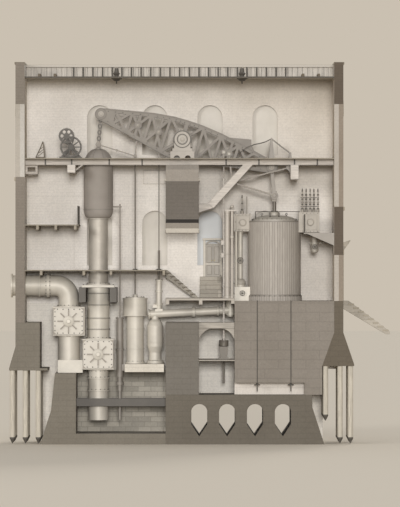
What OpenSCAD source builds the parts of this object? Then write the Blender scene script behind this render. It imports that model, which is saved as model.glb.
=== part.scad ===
/* [House] */
// inside half width between the long walls
half_w = 2030; // [1800:1:2400]
// inside face of the west end wall
west_in = -8614; // [-8800:1:-8400]
// inside face of the east end wall
east_in = 8304; // [8200:1:8600]
// thickness of the end walls
end_wall_t = 500; // [400:1:600]
// thickness of the long wall
long_wall_t = 1000; // [800:1:1200]
// height of the walls over the underside of the ceiling
parapet_h = 832; // [780:1:900]
// thickness of the parapet over the long wall
parapet_t = 440; // [300:1:600]
// gap between the raised end of the beam and the ceiling
ceiling_gap = 1606.8; // [1550:0.1:1700]
// thickness of the ceiling
ceiling_t = 70; // [40:1:120]
// top of the masonry base below the long wall
plinth_course_z = 7680; // [7650:1:7740]
// step of the masonry base out from the long wall
plinth_course_out = 100; // [40:1:200]
// height where the long wall divides between the storeys
storey_z = 13600; // [13000:1:14200]
// width of the arched windows in the long wall
window_w = 1378; // [1200:1:1500]
// sill of the lower windows
low_sill_z = 9785; // [9600:1:10000]
// springing of the lower windows
low_spring_z = 12100; // [11900:1:12300]
// sill of the upper windows
high_sill_z = 15900; // [15800:1:16100]
// springing of the upper windows
high_spring_z = 17941; // [17700:1:18200]
// centre of the first window
window_x1 = -4582; // [-4700:1:-4500]
// spacing of the windows along the wall
window_pitch = 3050; // [2900:1:3150]
// width of the end wall windows
end_window_w = 1270; // [1100:1:1400]
// sill of the west end window
west_sill_z = 14620; // [14500:1:14760]
// sill of the east end window
east_sill_z = 12989; // [12900:1:13100]
// springing of the end wall windows
end_spring_z = 17959; // [17700:1:18100]
// width of the entrance doorway
door_w = 1100; // [900:1:1200]
// sill of the entrance doorway
door_sill_z = 7833; // [7800:1:7900]
// height of the entrance doorway
door_h = 2515; // [2200:1:2600]
// thickness of the window panes
glass_t = 30; // [20:1:40]
// depth of the panes behind the inner face
glass_in = 240; // [150:1:350]

/* [Foundation] */
// gap between the raft and the inner west piles at the base
raft_gap = 100; // [60:1:160]
// how far the raft ends lean in at the knee
raft_lean = 586; // [400:1:700]
// height of the knee at the raft ends
raft_knee_z = 1826; // [1700:1:2000]
// top of the raft under the cylinder
raft_top_z = 2710; // [2600:1:2900]
// outer face of the pump pit wall
pit_out_x = -6960; // [-7100:1:-6900]
// inner face of the pump pit wall
pit_in_x = -5811; // [-5900:1:-5700]
// floor of the pump pit
pit_floor_z = 586; // [450:1:700]
// top of the pump pit wall
pit_top_z = 3882; // [3800:1:3900]
// east end of the raft top
raft_east_x = 7109; // [7050:1:7150]
// thickness of the concrete bed
concrete_t = 320; // [250:1:400]
// width of a culvert
culvert_w = 880; // [700:1:950]
// centre of the first culvert
culvert_x1 = 930; // [900:1:1000]
// spacing of the culverts
culvert_pitch = 1524; // [1450:1:1560]
// pointed bottom of a culvert
culvert_low_z = 436; // [400:1:500]
// foot of the straight sides of a culvert
culvert_foot_z = 1091; // [1000:1:1200]
// springing of a culvert
culvert_spring_z = 1760; // [1700:1:1800]
// how far the long wall footing flares out at the base
flare_out = 2050; // [1800:1:2200]
// underside of the west end wall footing
west_foot_z = 4040; // [4000:1:4100]
// underside of the east end wall footing
east_foot_z = 4280; // [4240:1:4350]
// top of the thick part of the west end wall
west_thick_z = 6661; // [6500:1:6800]
// inner face of the thick part of the west end wall
west_thick_x = -7787; // [-7900:1:-7700]
// how far the end wall footings spread outward
foot_spread = 350; // [250:1:450]
// thickness of a footing pile
pile_w = 290; // [200:1:350]
// inner west piles in from the outer edge of the footing
pile_in = 1600; // [1550:1:1650]
// spacing of the west piles
pile_pitch = 710; // [650:1:750]
// height of the long pile points above the base
pile_low_z = 60; // [20:1:200]
// height of the short pile points above the base
pile_short_z = 1300; // [1100:1:1500]

/* [Lever wall] */
// half thickness of the lever wall
lever_half = 907; // [850:1:950]
// top of the lever wall base
lever_base_z = 6661; // [6500:1:6700]
// springing of the arch under the lever wall head
lever_spring_z = 11554; // [11450:1:11700]
// crown of the arch under the lever wall head
lever_crown_z = 12150; // [12050:1:12250]
// width of the flat strips at the springing
impost = 60; // [30:1:120]
// top of the lever wall head
lever_head_z = 14380; // [14300:1:14450]
// top of the capstones
lever_cap_z = 15034; // [14980:1:15060]

/* [Cylinder plinth] */
// west face of the cylinder plinth
plinth_x = 2860; // [2800:1:2900]
// east foot of the cylinder plinth
plinth_foot_x = 7650; // [7600:1:7700]
// top of the leaning east side of the plinth
plinth_lean_z = 6110; // [6000:1:6200]
// length of the passages in the plinth
passage_len = 3813; // [3600:1:3950]
// height of the passages in the plinth
passage_h = 655; // [600:1:750]
// depth of the passages in from the wall
passage_w = 850; // [700:1:950]

/* [Roof] */
// rise of the roof at its centre
roof_rise = 490; // [400:1:520]
// thickness of the roof
roof_t = 110; // [80:1:130]
// foot of the roof above the ceiling
roof_foot = 90; // [60:1:120]
// spacing of the roof struts
strut_pitch = 530; // [500:1:560]
// thickness of a roof strut
strut_t = 80; // [60:1:120]
// number of roof struts in the row
strut_n = 23; // [11:1:24]

/* [Timber] */
// inside face of the spring beams
spring_in_y = 840; // [820:1:900]
// width of the spring beams
spring_w = 380; // [300:1:400]
// underside of the spring beams
spring_low_z = 15284; // [15250:1:15300]
// depth of the spring beams
spring_h = 366; // [320:1:380]
// west face of the west cross beam
cross_west_x = -6282; // [-6350:1:-6250]
// depth of the west cross beam
cross_west_h = 438; // [380:1:500]
// distance of the east cross beam from the radius rod pivot
pivot_gap = 96; // [90:1:120]
// depth of the east cross beam
cross_east_h = 804; // [700:1:850]
// width of the cross beams
cross_w = 436; // [380:1:460]
// thickness of the floor boards
board_t = 60; // [40:1:80]
// top of the pump gallery
gallery_z = 12014; // [11950:1:12100]
// east edge of the pump gallery
gallery_x = -5650; // [-5750:1:-5600]
// top of the pump floor
pump_floor_z = 9525; // [9500:1:9540]
// depth of the floor joists
joist_h = 228; // [200:1:230]
// width of the floor joists
joist_w = 150; // [100:1:200]
// top of the driving floor
drive_floor_z = 7982; // [7960:1:8040]
// thickness of the driving floor
drive_floor_t = 344; // [250:1:380]
// top of the basement floor
basement_z = 4617; // [4560:1:4680]
// top of the cellar beams
cellar_z = 6655; // [6600:1:6661]
// depth of the cellar beams
cellar_h = 330; // [280:1:360]
// inner side of the cellar beams
cellar_y = 1200; // [1150:1:1250]
// width of the cellar beams
cellar_w = 220; // [180:1:240]
// top of the cylinder gallery
cyl_gallery_z = 11560; // [11500:1:11580]
// west edge of the cylinder gallery
cyl_gallery_x = 6640; // [6600:1:6700]
// number of treads in the inner stair
tread_n = 7; // [5:1:8]
// width of the inner stair
stair_w = 760; // [600:1:900]
// height of the hand rails
rail_h = 1000; // [900:1:1100]
// radius of the rail bars
rail_r = 22; // [15:1:30]
// thickness of the spring beam struts
brace_w = 400; // [300:1:420]
// foot of the spring beam struts along the house
brace_x1 = 1560; // [1500:1:1650]
// foot of the spring beam struts above the base
brace_z1 = 13050; // [13000:1:13200]
// head of the spring beam struts along the house
brace_x2 = 3560; // [3450:1:3650]

/* [Beam] */
// height of the main gudgeon
gudgeon_z = 16699; // [16690:1:16720]
// arm of the beam on the steam side
steam_arm = 5130; // [5080:1:5160]
// arm of the beam on the pump side
pump_arm = 4680; // [4650:1:4720]
// slope of the beam at rest
tilt = 17.28; // [17:0.01:17.5]
// inner face of the beam flitches
flitch_in_y = 260; // [258:1:275]
// thickness of a beam flitch
flitch_t = 140; // [110:1:145]
// depth of the beam above the gudgeon
beam_up = 1090; // [1000:1:1120]
// depth of the beam below the gudgeon
beam_down = 1180; // [1080:1:1190]
// half depth of the beam at its ends
beam_end = 340; // [300:1:350]
// depth of the beam chords
chord = 235; // [200:1:260]
// width of the beam struts
strut_w = 150; // [120:1:180]
// radius of the hub boss
hub_r = 520; // [460:1:560]
// radius of the main gudgeon between the flitches
gudgeon_r = 230; // [220:1:250]
// radius of the gudgeon journals
journal_r = 200; // [170:1:210]
// running clearance of the gudgeon and the rods
run_gap = 0.8; // [0.5:0.1:0.9]
// radius of the beam end pins
end_pin_r = 130; // [110:1:150]
// radius of the studs along the beam
stud_r = 70; // [60:1:90]
// arm of the back link stud on the steam side
back_arm = 2689; // [2650:1:2720]
// arm of the plug rod stud
plug_arm = 2383; // [2350:1:2400]
// arm of the air pump stud
air_arm = 2560; // [2540:1:2600]
// arm of the feed pump stud
feed_arm = 1349; // [1320:1:1370]

/* [Bearings] */
// inner face of the pedestals
ped_in_y = 470; // [465:1:500]
// thickness of the pedestals
ped_t = 350; // [300:1:360]
// half length of the pedestals
ped_half = 660; // [640:1:700]
// top of the pedestals
ped_top_z = 16045; // [16000:1:16080]
// radius of the gudgeon bearings
bearing_r = 490; // [460:1:520]

/* [Links] */
// slant of the steam side links at rest
steam_link_dx = 161.5; // [150:0.5:170]
// drop of the steam side links
steam_link_dz = 1560; // [1500:1:1600]
// slant of the pump side links at rest
pump_link_dx = 151; // [140:1:160]
// drop of the pump side links
pump_link_dz = 1669; // [1640:1:1700]
// half width of the crosshead
crosshead_y = 140; // [120:1:145]
// side clearance of the links
link_gap = 12; // [10:1:14]
// thickness of the link straps
strap_t = 80; // [60:1:85]
// width of the link straps
strap_w = 200; // [160:1:240]
// radius of the link eyes
eye_r = 210; // [190:1:230]
// radius of the piston rod
piston_rod_r = 100; // [90:1:110]
// radius of the light rods
light_rod_r = 38; // [30:1:45]
// radius of the eyes at the radius rod pivots
pivot_eye_r = 85; // [75:1:90]
// centre of the radius rod pivot along the house
radius_pivot_x = 5830; // [5780:1:5840]

/* [Cylinder] */
// radius of the lagged casing
casing_r = 1453; // [1400:1:1480]
// radius of the cylinder bore
bore_r = 1016; // [980:1:1050]
// radius of the base flange
base_r = 1516; // [1500:1:1560]
// thickness of the base flange
base_t = 252; // [200:1:300]
// top of the casing
casing_top_z = 12231; // [12200:1:12280]
// radius of the cylinder cover
cover_r = 1245; // [1200:1:1300]
// height of the cylinder cover
cover_h = 286; // [250:1:320]
// radius of the stuffing box
stuffing_r = 280; // [240:1:320]
// height of the stuffing box
stuffing_h = 220; // [180:1:260]
// side clearance of the piston
piston_gap = 8; // [6:1:12]
// thickness of the piston
piston_t = 300; // [250:1:350]

/* [Valve gear] */
// west face of the upper valve chest
top_chest_x = 2830; // [2800:1:2900]
// underside of the upper valve chest
top_chest_z = 11645; // [11600:1:11700]
// top of the upper valve chest
top_chest_top = 12610; // [12560:1:12660]
// half width of the upper valve chest
top_chest_y = 520; // [450:1:600]
// east face of the steam chest
steam_chest_x = 7522; // [7450:1:7600]
// underside of the steam chest
steam_chest_z = 11589; // [11582:1:11650]
// top of the steam chest
steam_chest_top = 12702; // [12650:1:12750]
// half width of the steam chest
steam_chest_y = 620; // [500:1:700]
// west face of the exhaust valve box
low_chest_x = 2871; // [2861:1:2960]
// height of the exhaust valve box
low_chest_h = 767; // [700:1:800]
// centre of the gear columns along the house
gear_x = 2466; // [2440:1:2500]
// spacing of the gear columns from the centre
gear_y = 1000; // [900:1:1050]
// radius of the gear columns
gear_r = 135; // [110:1:140]
// distance of the slender columns from the gear columns
slender_gap = 262; // [250:1:280]
// radius of the slender columns
slender_r = 75; // [60:1:85]
// top of the gear columns
gear_top_z = 12760; // [12600:1:12850]
// collars of the slender columns below their top
collar_drop = 1340; // [1300:1:1400]
// upper rail of the gear columns below their top
gear_rail_drop = 860; // [800:1:900]
// top of the valve spindles over the steam chest
spindle_top_z = 13850; // [13700:1:13950]
// height of the glands round the valve spindles
spindle_gland = 158; // [120:1:180]
// centre of the drain pipe below the steam chest
drain_x = 7280; // [7240:1:7300]
// foot of the drain pipe below the steam chest
drain_low_z = 10531; // [10500:1:10600]
// foot of the plug rod at rest
plug_low_z = 5650; // [5640:1:6300]
// lower tappet of the plug rod at rest
tappet_z = 10200; // [10150:1:10300]
// spacing of the tappets
tappet_pitch = 700; // [650:1:750]

/* [Main pump] */
// radius of the weight case
case_r = 804; // [780:1:815]
// bottom of the straight side of the weight case
case_low_z = 12817; // [12780:1:12860]
// top of the straight side of the weight case
case_top_z = 15229; // [15180:1:15260]
// point of the weight case
case_apex_z = 16200; // [16150:1:16230]
// depth of the rounded bottom of the weight case
case_round = 448; // [400:1:470]
// wall of the weight case
case_wall = 60; // [40:1:90]
// radius of the plunger
plunger_r = 520; // [500:1:530]
// bottom of the plunger at rest
plunger_low_z = 8540; // [8530:1:8550]
// wall of the plunger
plunger_wall = 50; // [40:1:70]
// underside of the gland plate
gland_z = 8568; // [8560:1:8600]
// thickness of the gland plate
gland_t = 218; // [180:1:250]
// half length of the gland plate
gland_half = 900; // [880:1:950]
// radius of the pump barrel
barrel_r = 603; // [590:1:620]
// wall of the pump barrel
barrel_wall = 45; // [35:1:50]
// bottom of the pump barrel
barrel_low_z = 5708; // [5680:1:5720]
// radius of the barrel flanges
flange_r = 700; // [680:1:720]
// thickness of the barrel flanges
flange_t = 90; // [70:1:110]
// width of the suction valve chest
suction_chest_w = 1700; // [1650:1:1720]
// underside of the suction valve chest
suction_chest_z = 4089; // [4060:1:4110]
// gap between the pump barrel and the delivery valve chest
chest_gap = 163.5; // [150:0.5:180]
// width of the delivery valve chest
delivery_chest_w = 1711; // [1600:1:1720]
// underside of the delivery valve chest
delivery_chest_z = 5950; // [5800:1:5990]
// top of the delivery valve chest
delivery_chest_top = 7477; // [7440:1:7520]
// half depth of the valve chests
chest_y = 700; // [600:1:750]
// axis of the delivery pipe
delivery_z = 8666; // [8640:1:8690]
// radius of the delivery pipe
delivery_r = 560; // [540:1:570]
// wall of the large pipes
pipe_wall = 40; // [30:1:50]
// bend radius of the delivery bend
bend_r = 700; // [680:1:720]
// straight tail of the delivery bend
bend_tail = 438; // [400:1:450]
// spacing of the joints along the delivery pipe
joint_pitch = 510; // [450:1:560]
// west end of the delivery pipe
delivery_end_x = -9420; // [-9460:1:-9380]
// foot of the suction pipe
suction_foot_z = 1275; // [1200:1:1350]
// radius of the suction pipe
suction_r = 545; // [520:1:550]
// inner side of the pump girders from the pump centre
girder_in = 660; // [650:1:690]
// width of the pump girders
girder_w = 370; // [340:1:390]
// underside of the pump girders
girder_z = 7764; // [7740:1:7800]
// underside of the pit girders
pit_girder_z = 2050; // [2000:1:2100]
// depth of the pit girders
pit_girder_h = 430; // [380:1:460]

/* [Small pumps] */
// underside of the bed of the small pumps
bed_z = 3951; // [3920:1:3980]
// thickness of the bed of the small pumps
bed_t = 436; // [400:1:470]
// west edge of the bed
bed_x1 = -3147; // [-3180:1:-3140]
// east edge of the bed
bed_x2 = -1000; // [-1100:1:-980]
// radius of the lower air pump barrel
air_low_r = 471; // [450:1:490]
// radius of the upper air pump barrel
air_high_r = 650; // [620:1:680]
// top of the lower air pump barrel
air_mid_z = 6980; // [6970:1:7050]
// top of the upper air pump barrel
air_top_z = 7982; // [7940:1:8020]
// centre of the condenser
condenser_x = -1500; // [-1520:1:-1480]
// radius of the condenser
condenser_r = 440; // [420:1:460]
// axis of the eduction pipe over the condenser
eduction_z = 7105; // [7090:1:7160]
// rise of the eduction pipe towards the cylinder in degrees
eduction_rise = 2.9; // [2:0.1:3.5]
// radius of the eduction pipe
eduction_r = 220; // [200:1:225]
// centre of the cold water pump
cold_x = -3434; // [-3440:1:-3430]
// radius of the cold water pump
cold_r = 190; // [170:1:200]
// bottom of the cold water pump barrel
cold_low_z = 3629; // [3600:1:3660]
// top of the cold water pump barrel
cold_top_z = 6914; // [6880:1:6930]
// foot of the cold water pipe
cold_foot_z = 1286; // [1250:1:1350]
// height of the arm on the weight case
cold_arm_z = 13000; // [12960:1:13100]
// top of the feed pump
feed_top_z = 8993; // [8900:1:9060]
// foot of the feed ram at rest
ram_low_z = 8760; // [8700:1:8850]
// top of the feed ram at rest
ram_top_z = 10600; // [10500:1:10700]
// radius of the feed pump
feed_r = 150; // [130:1:170]

/* [Winch] */
// centre of the large winch wheel along the house
winch_x = -6100; // [-6120:1:-6060]
// centre of the large winch wheel above the base
winch_z = 16262; // [16240:1:16320]
// radius of the large winch wheel
winch_r = 580; // [540:1:600]
// centre of the small winch wheel along the house
pinion_x = -6345; // [-6400:1:-6300]
// centre of the small winch wheel above the base
pinion_z = 16870; // [16820:1:16920]
// radius of the small winch wheel
pinion_r = 415; // [380:1:440]

/* [Hidden] */
$fn = 48;
e = 1;
front_y = -half_w;
back_y = half_w;
west_out = west_in - end_wall_t;
west_pile_x = west_out - foot_spread + pile_in;
raft_half = -west_pile_x - raft_gap;
east_out = east_in + end_wall_t;
outer_y = back_y + long_wall_t;
base_y = outer_y + plinth_course_out;
cs = cos(tilt);
sn = sin(tilt);
steam_x = steam_arm * cs;
steam_z = gudgeon_z - steam_arm * sn;
pump_x = -pump_arm * cs;
pump_z = gudgeon_z + pump_arm * sn;
ceiling_z = pump_z + beam_end + ceiling_gap;
wall_top_z = ceiling_z + parapet_h;
cyl_x = steam_x + steam_link_dx;
cross_z = steam_z - steam_link_dz;
cross_east_x = radius_pivot_x + pivot_gap;
back_x = back_arm * cs;
back_z = gudgeon_z - back_arm * sn;
back_low_x = back_x + steam_link_dx;
back_low_z = back_z - steam_link_dz;
radius_pivot_z = gudgeon_z - steam_link_dz;
radius_len = sqrt(pow(radius_pivot_x - back_low_x, 2) + pow(radius_pivot_z - back_low_z, 2));
main_x = pump_x - pump_link_dx;
case_eye_z = pump_z - pump_link_dz;
delivery_x = main_x - barrel_r - chest_gap - delivery_chest_w / 2;
joint_x = delivery_x - bend_r - bend_tail;
air_x = -air_arm * cs;
air_z = gudgeon_z + air_arm * sn;
air_rod_x = air_x - pump_link_dx;
air_rod_z = air_z - pump_link_dz;
feed_x = -feed_arm * cs;
feed_z = gudgeon_z + feed_arm * sn;
slender_x = gear_x + slender_gap;
plug_x = plug_arm * cs;
plug_z = gudgeon_z - plug_arm * sn;
plug_link_dz = 1500;
feed_link_dz = 1500;
strap_in = crosshead_y + link_gap;
strap_out = strap_in + strap_t;
flitch_out = flitch_in_y + flitch_t;
side_in = flitch_out + link_gap;
bar_y = 90 + 2 * link_gap + strap_t;
side_t = 50;
side_out = side_in + side_t;
plug_y = -side_out - link_gap;
spring_out_y = spring_in_y + spring_w;
spring_top_z = spring_low_z + spring_h;
ped_out_y = ped_in_y + ped_t;
bed_top_z = bed_z + bed_t;
barrel_top_z = gland_z;
cyl_base_z = door_sill_z;
cyl_low_z = cyl_base_z + base_t;
cover_top_z = casing_top_z + cover_h;
stuffing_top_z = cover_top_z + stuffing_h;

module slab_xz(y0, y1) {
  translate([0, y1, 0]) rotate([90, 0, 0]) linear_extrude(y1 - y0) children();
}

module slab_yz(x0, x1) {
  translate([x0, 0, 0]) rotate([90, 0, 90]) linear_extrude(x1 - x0) children();
}

module box(x0, x1, y0, y1, z0, z1) {
  translate([x0, y0, z0]) cube([x1 - x0, y1 - y0, z1 - z0]);
}

module drum(x, y, z0, z1, r) {
  translate([x, y, z0]) cylinder(h = z1 - z0, r = r);
}

module drum_y(x, z, y0, y1, r) {
  translate([x, y1, z]) rotate([90, 0, 0]) cylinder(h = y1 - y0, r = r);
}

module drum_x(z, x0, x1, r) {
  translate([x0, 0, z]) rotate([0, 90, 0]) cylinder(h = x1 - x0, r = r);
}

module strut2d(u0, v0, u1, v1, w) {
  len = sqrt(pow(u1 - u0, 2) + pow(v1 - v0, 2));
  translate([u0, v0]) rotate(atan2(v1 - v0, u1 - u0)) translate([0, -w / 2]) square([len, w]);
}

module arch2d(c, w, sill, spring) {
  translate([c - w / 2, sill]) square([w, spring - sill]);
  translate([c, spring]) circle(r = w / 2);
}

module both() {
  children();
  mirror([0, 1, 0]) children();
}

module culvert2d(c) {
  polygon([[c, culvert_low_z], [c + culvert_w / 2, culvert_foot_z], [c + culvert_w / 2, culvert_spring_z],
    [c - culvert_w / 2, culvert_spring_z], [c - culvert_w / 2, culvert_foot_z]]);
  translate([c, culvert_spring_z]) circle(r = culvert_w / 2);
}

module culverts2d() {
  for (i = [0 : 3]) culvert2d(culvert_x1 + i * culvert_pitch);
}

module foundation_raft() {
  color([0.45, 0.42, 0.37]) slab_xz(front_y, back_y) polygon([[-raft_half, 0], [-lever_half, 0],
    [-lever_half, pit_floor_z], [pit_in_x, pit_floor_z], [pit_in_x, pit_top_z], [pit_out_x, pit_top_z],
    [-raft_half + raft_lean, raft_knee_z]]);
}

module culvert_raft() {
  color([0.45, 0.42, 0.37]) slab_xz(front_y, back_y) difference() {
    polygon([[-lever_half, 0], [raft_half, 0], [raft_half - raft_lean, raft_knee_z],
      [raft_east_x, raft_knee_z + 200], [raft_east_x, raft_top_z], [-lever_half, raft_top_z]]);
    culverts2d();
  }
}

module footing_steps() {
  color([0.45, 0.42, 0.37]) difference() {
    slab_yz(-raft_half, raft_half) polygon([[back_y, 0], [back_y + flare_out, 0], [base_y + 350, 1170],
      [base_y + 350, 2260], [base_y + 200, 2260], [base_y + 200, 3000], [base_y + 90, 3000],
      [base_y + 90, west_foot_z], [back_y, west_foot_z]]);
    slab_xz(back_y - e, back_y + flare_out + e) culverts2d();
  }
}

module wall_course() {
  color([0.62, 0.56, 0.47]) box(west_out, east_out, back_y, base_y, west_foot_z, plinth_course_z);
}

module windows2d(sill, spring) {
  for (i = [0 : 3]) arch2d(window_x1 + i * window_pitch, window_w, sill, spring);
}

module back_wall_lower() {
  color([0.66, 0.6, 0.5]) difference() {
    box(west_out, east_out, back_y, outer_y, plinth_course_z, storey_z);
    slab_xz(back_y - e, outer_y + e) windows2d(low_sill_z, low_spring_z);
  }
}

module back_wall_upper() {
  color([0.66, 0.6, 0.5]) {
    difference() {
      box(west_out, east_out, back_y, outer_y, storey_z, ceiling_z);
      slab_xz(back_y - e, outer_y + e) windows2d(high_sill_z, high_spring_z);
    }
    box(west_out, east_out, outer_y - parapet_t, outer_y, ceiling_z - parapet_t, wall_top_z);
  }
}

module west_footing() {
  color([0.45, 0.42, 0.37]) slab_xz(front_y, back_y) polygon([[west_out - foot_spread, west_foot_z],
    [west_thick_x + 430, west_foot_z], [west_thick_x + 430, west_foot_z + 120], [west_thick_x, west_foot_z + 120],
    [west_thick_x, west_thick_z], [west_out, west_thick_z], [west_out, west_foot_z + 1300],
    [west_out - foot_spread, west_foot_z + 120]]);
}

module west_wall() {
  color([0.55, 0.5, 0.43]) difference() {
    box(west_out, west_in, front_y, back_y, west_thick_z, wall_top_z);
    slab_yz(west_out - e, west_in + e) arch2d(0, end_window_w, west_sill_z, end_spring_z);
    drum_x(delivery_z, west_out - e, west_in + e, delivery_r);
  }
}

module east_footing() {
  color([0.45, 0.42, 0.37]) slab_xz(front_y, back_y) polygon([[plinth_foot_x, east_foot_z],
    [east_out + foot_spread + 240, east_foot_z], [east_out + foot_spread + 240, east_foot_z + 100],
    [east_out, plinth_lean_z], [east_out, door_sill_z], [east_in, door_sill_z], [east_in, plinth_lean_z]]);
}

module east_wall() {
  color([0.55, 0.5, 0.43]) difference() {
    box(east_in, east_out, front_y, back_y, door_sill_z, wall_top_z);
    slab_yz(east_in - e, east_out + e) arch2d(0, end_window_w, east_sill_z, end_spring_z);
    box(east_in - e, east_out + e, -door_w / 2, door_w / 2, door_sill_z - e, door_sill_z + door_h);
  }
}

module pile(x, y, z0, z1) {
  translate([x, y, z0]) cylinder(h = pile_w * 0.9, r1 = 10, r2 = pile_w / 2);
  drum(x, y, z0 + pile_w * 0.9, z1, pile_w / 2);
}

module footing_piles() {
  color([0.5, 0.42, 0.32]) for (j = [-1 : 1]) {
    y = j * (half_w - pile_w / 2 - 20);
    for (i = [0 : 2]) pile(west_pile_x - i * pile_pitch, y, pile_low_z, west_foot_z);
    pile(east_out + foot_spread + 40, y, pile_low_z, east_foot_z);
    pile(east_out - 180, y, pile_low_z, east_foot_z);
    pile(plinth_foot_x + 180, y, pile_short_z, east_foot_z);
  }
}

module cylinder_plinth() {
  color([0.6, 0.56, 0.5]) difference() {
    slab_xz(front_y, back_y) polygon([[plinth_x, raft_top_z], [plinth_foot_x, raft_top_z],
      [plinth_foot_x, east_foot_z], [east_in, plinth_lean_z], [east_in, door_sill_z], [plinth_x, door_sill_z]]);
    box(plinth_x - e, plinth_x + passage_len, front_y - e, front_y + passage_w, raft_top_z - e, raft_top_z + passage_h);
    box(plinth_x - e, plinth_x + passage_len, back_y - passage_w, back_y + e, raft_top_z - e, raft_top_z + passage_h);
  }
}

module lever_wall_base() {
  color([0.5, 0.46, 0.4]) box(-lever_half, lever_half, front_y, back_y, raft_top_z, lever_base_z);
}

module lever_arch() {
  rise = lever_crown_z - lever_spring_z;
  span = half_w - impost;
  arc_r = (span * span + rise * rise) / (2 * rise);
  color([0.42, 0.38, 0.34]) difference() {
    box(-lever_half, lever_half, front_y, back_y, lever_spring_z, lever_head_z);
    drum_x(lever_crown_z - arc_r, -lever_half - e, lever_half + e, arc_r);
  }
}

module lever_cap() {
  color([0.68, 0.64, 0.57]) {
    box(-lever_half, lever_half, front_y, back_y, lever_head_z, lever_cap_z);
    both() box(-lever_half, lever_half, spring_in_y, spring_out_y, lever_cap_z, spring_low_z);
  }
}

module roof_shell() {
  foot_z = ceiling_z + ceiling_t + roof_foot;
  arc_r = (half_w * half_w + roof_rise * roof_rise) / (2 * roof_rise);
  color([0.5, 0.5, 0.48]) slab_yz(west_in, east_in) intersection() {
    translate([0, foot_z]) square([half_w, roof_rise + roof_t + 10]);
    difference() {
      translate([0, foot_z + roof_rise - arc_r]) circle(r = arc_r + roof_t, $fn = 96);
      translate([0, foot_z + roof_rise - arc_r]) circle(r = arc_r, $fn = 96);
    }
  }
}

module ceiling_boards() {
  color([0.75, 0.68, 0.56]) box(west_in, east_in, front_y, back_y, ceiling_z, ceiling_z + ceiling_t);
}

module roof_frame() {
  foot_z = ceiling_z + ceiling_t;
  top_z = foot_z + roof_foot + roof_rise;
  color([0.5, 0.4, 0.28]) {
    for (i = [0 : strut_n - 1]) {
      x = (i - (strut_n - 1) / 2) * strut_pitch - 150;
      box(x - strut_t / 2, x + strut_t / 2, 0, 160, foot_z, top_z - 8);
    }
  }
}

module window_panes() {
  color([0.8, 0.85, 0.86, 0.35]) {
    slab_xz(back_y + glass_in, back_y + glass_in + glass_t) windows2d(low_sill_z, low_spring_z);
    slab_xz(back_y + glass_in, back_y + glass_in + glass_t) windows2d(high_sill_z, high_spring_z);
    slab_yz(west_in - glass_in, west_in - glass_in + glass_t)
      arch2d(0, end_window_w, west_sill_z, end_spring_z);
    slab_yz(east_in + glass_in, east_in + glass_in + glass_t)
      arch2d(0, end_window_w, east_sill_z, end_spring_z);
  }
}

module beam_timbers() {
  color([0.62, 0.5, 0.34]) both() box(west_in, east_in, spring_in_y, spring_out_y, spring_low_z, spring_top_z);
}

module cross_beams() {
  color([0.55, 0.43, 0.29]) {
    box(cross_west_x, cross_west_x + cross_w, front_y, back_y, spring_low_z - cross_west_h, spring_low_z);
    box(cross_east_x, cross_east_x + cross_w, front_y, back_y, spring_low_z - cross_east_h, spring_low_z);
  }
}

module beam_deck() {
  color([0.66, 0.55, 0.38]) both() {
    box(west_in, east_in, spring_out_y, half_w, spring_top_z - board_t, spring_top_z);
  }
}

module spring_braces() {
  color([0.62, 0.5, 0.34]) both() {
    slab_xz(spring_in_y, spring_out_y) intersection() {
      translate([brace_x1 - 400, brace_z1 - 600]) square([3000, spring_low_z - brace_z1 + 600]);
      strut2d(brace_x1, brace_z1, brace_x2 + 300, spring_low_z + 300, brace_w);
    }
    slab_xz(spring_in_y, spring_out_y) polygon([[lever_half, brace_z1 + 120], [lever_half, brace_z1 - 380],
      [brace_x1 + 120, brace_z1 - 130], [brace_x1 - 150, brace_z1 + 135]]);
  }
}

module catch_frame() {
  color([0.5, 0.4, 0.28]) {
    both() slab_xz(spring_in_y - 200, spring_in_y) difference() {
      translate([west_in, spring_low_z - 500]) square([680, 500 + spring_h]);
      translate([west_in + 130, spring_low_z - 370]) square([420, 250]);
      translate([west_in + 130, spring_low_z + 60]) square([420, 180]);
    }
    both() slab_xz(spring_in_y, spring_in_y + 200) polygon([[west_in + 580, spring_top_z],
      [west_in + 1080, spring_top_z], [west_in + 1060, spring_top_z + 400], [west_in + 980, spring_top_z + 940],
      [west_in + 800, spring_top_z + 500]]);
  }
}

module stay_posts() {
  color([0.45, 0.42, 0.38]) both() {
    slab_xz(spring_in_y + 40, spring_in_y + 140) polygon([[steam_x - 150, spring_top_z], [steam_x + 150, spring_top_z],
      [steam_x + 40, spring_top_z + 1120], [steam_x - 40, spring_top_z + 1120]]);
    slab_xz(spring_in_y + 140, spring_in_y + 240) polygon([[cross_east_x - 80, spring_top_z],
      [cross_east_x + 80, spring_top_z], [cross_east_x + 40, spring_top_z + 330], [cross_east_x - 40, spring_top_z + 330]]);
  }
}

module rail_row(x, y0, y1, z, n) {
  for (i = [0 : n - 1]) drum(x, y0 + (y1 - y0) * i / (n - 1), z, z + rail_h, rail_r);
  drum_y(x, z + rail_h, y0 - rail_r, y1 + rail_r, rail_r * 1.2);
  drum_y(x, z + rail_h / 2, y0 - rail_r, y1 + rail_r, rail_r * 0.8);
}

module joist_row(x, y0, y1, top) {
  box(x - joist_w / 2, x + joist_w / 2, y0, y1, top - joist_h, top);
}

module gallery_deck() {
  color([0.62, 0.52, 0.37]) {
    box(west_in, gallery_x, front_y, back_y, gallery_z - board_t, gallery_z);
    joist_row(west_in + 700, front_y, back_y, gallery_z - board_t);
    joist_row(west_in + 1700, front_y, back_y, gallery_z - board_t);
    joist_row(gallery_x - 200, front_y, back_y, gallery_z - board_t);
  }
}

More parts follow.
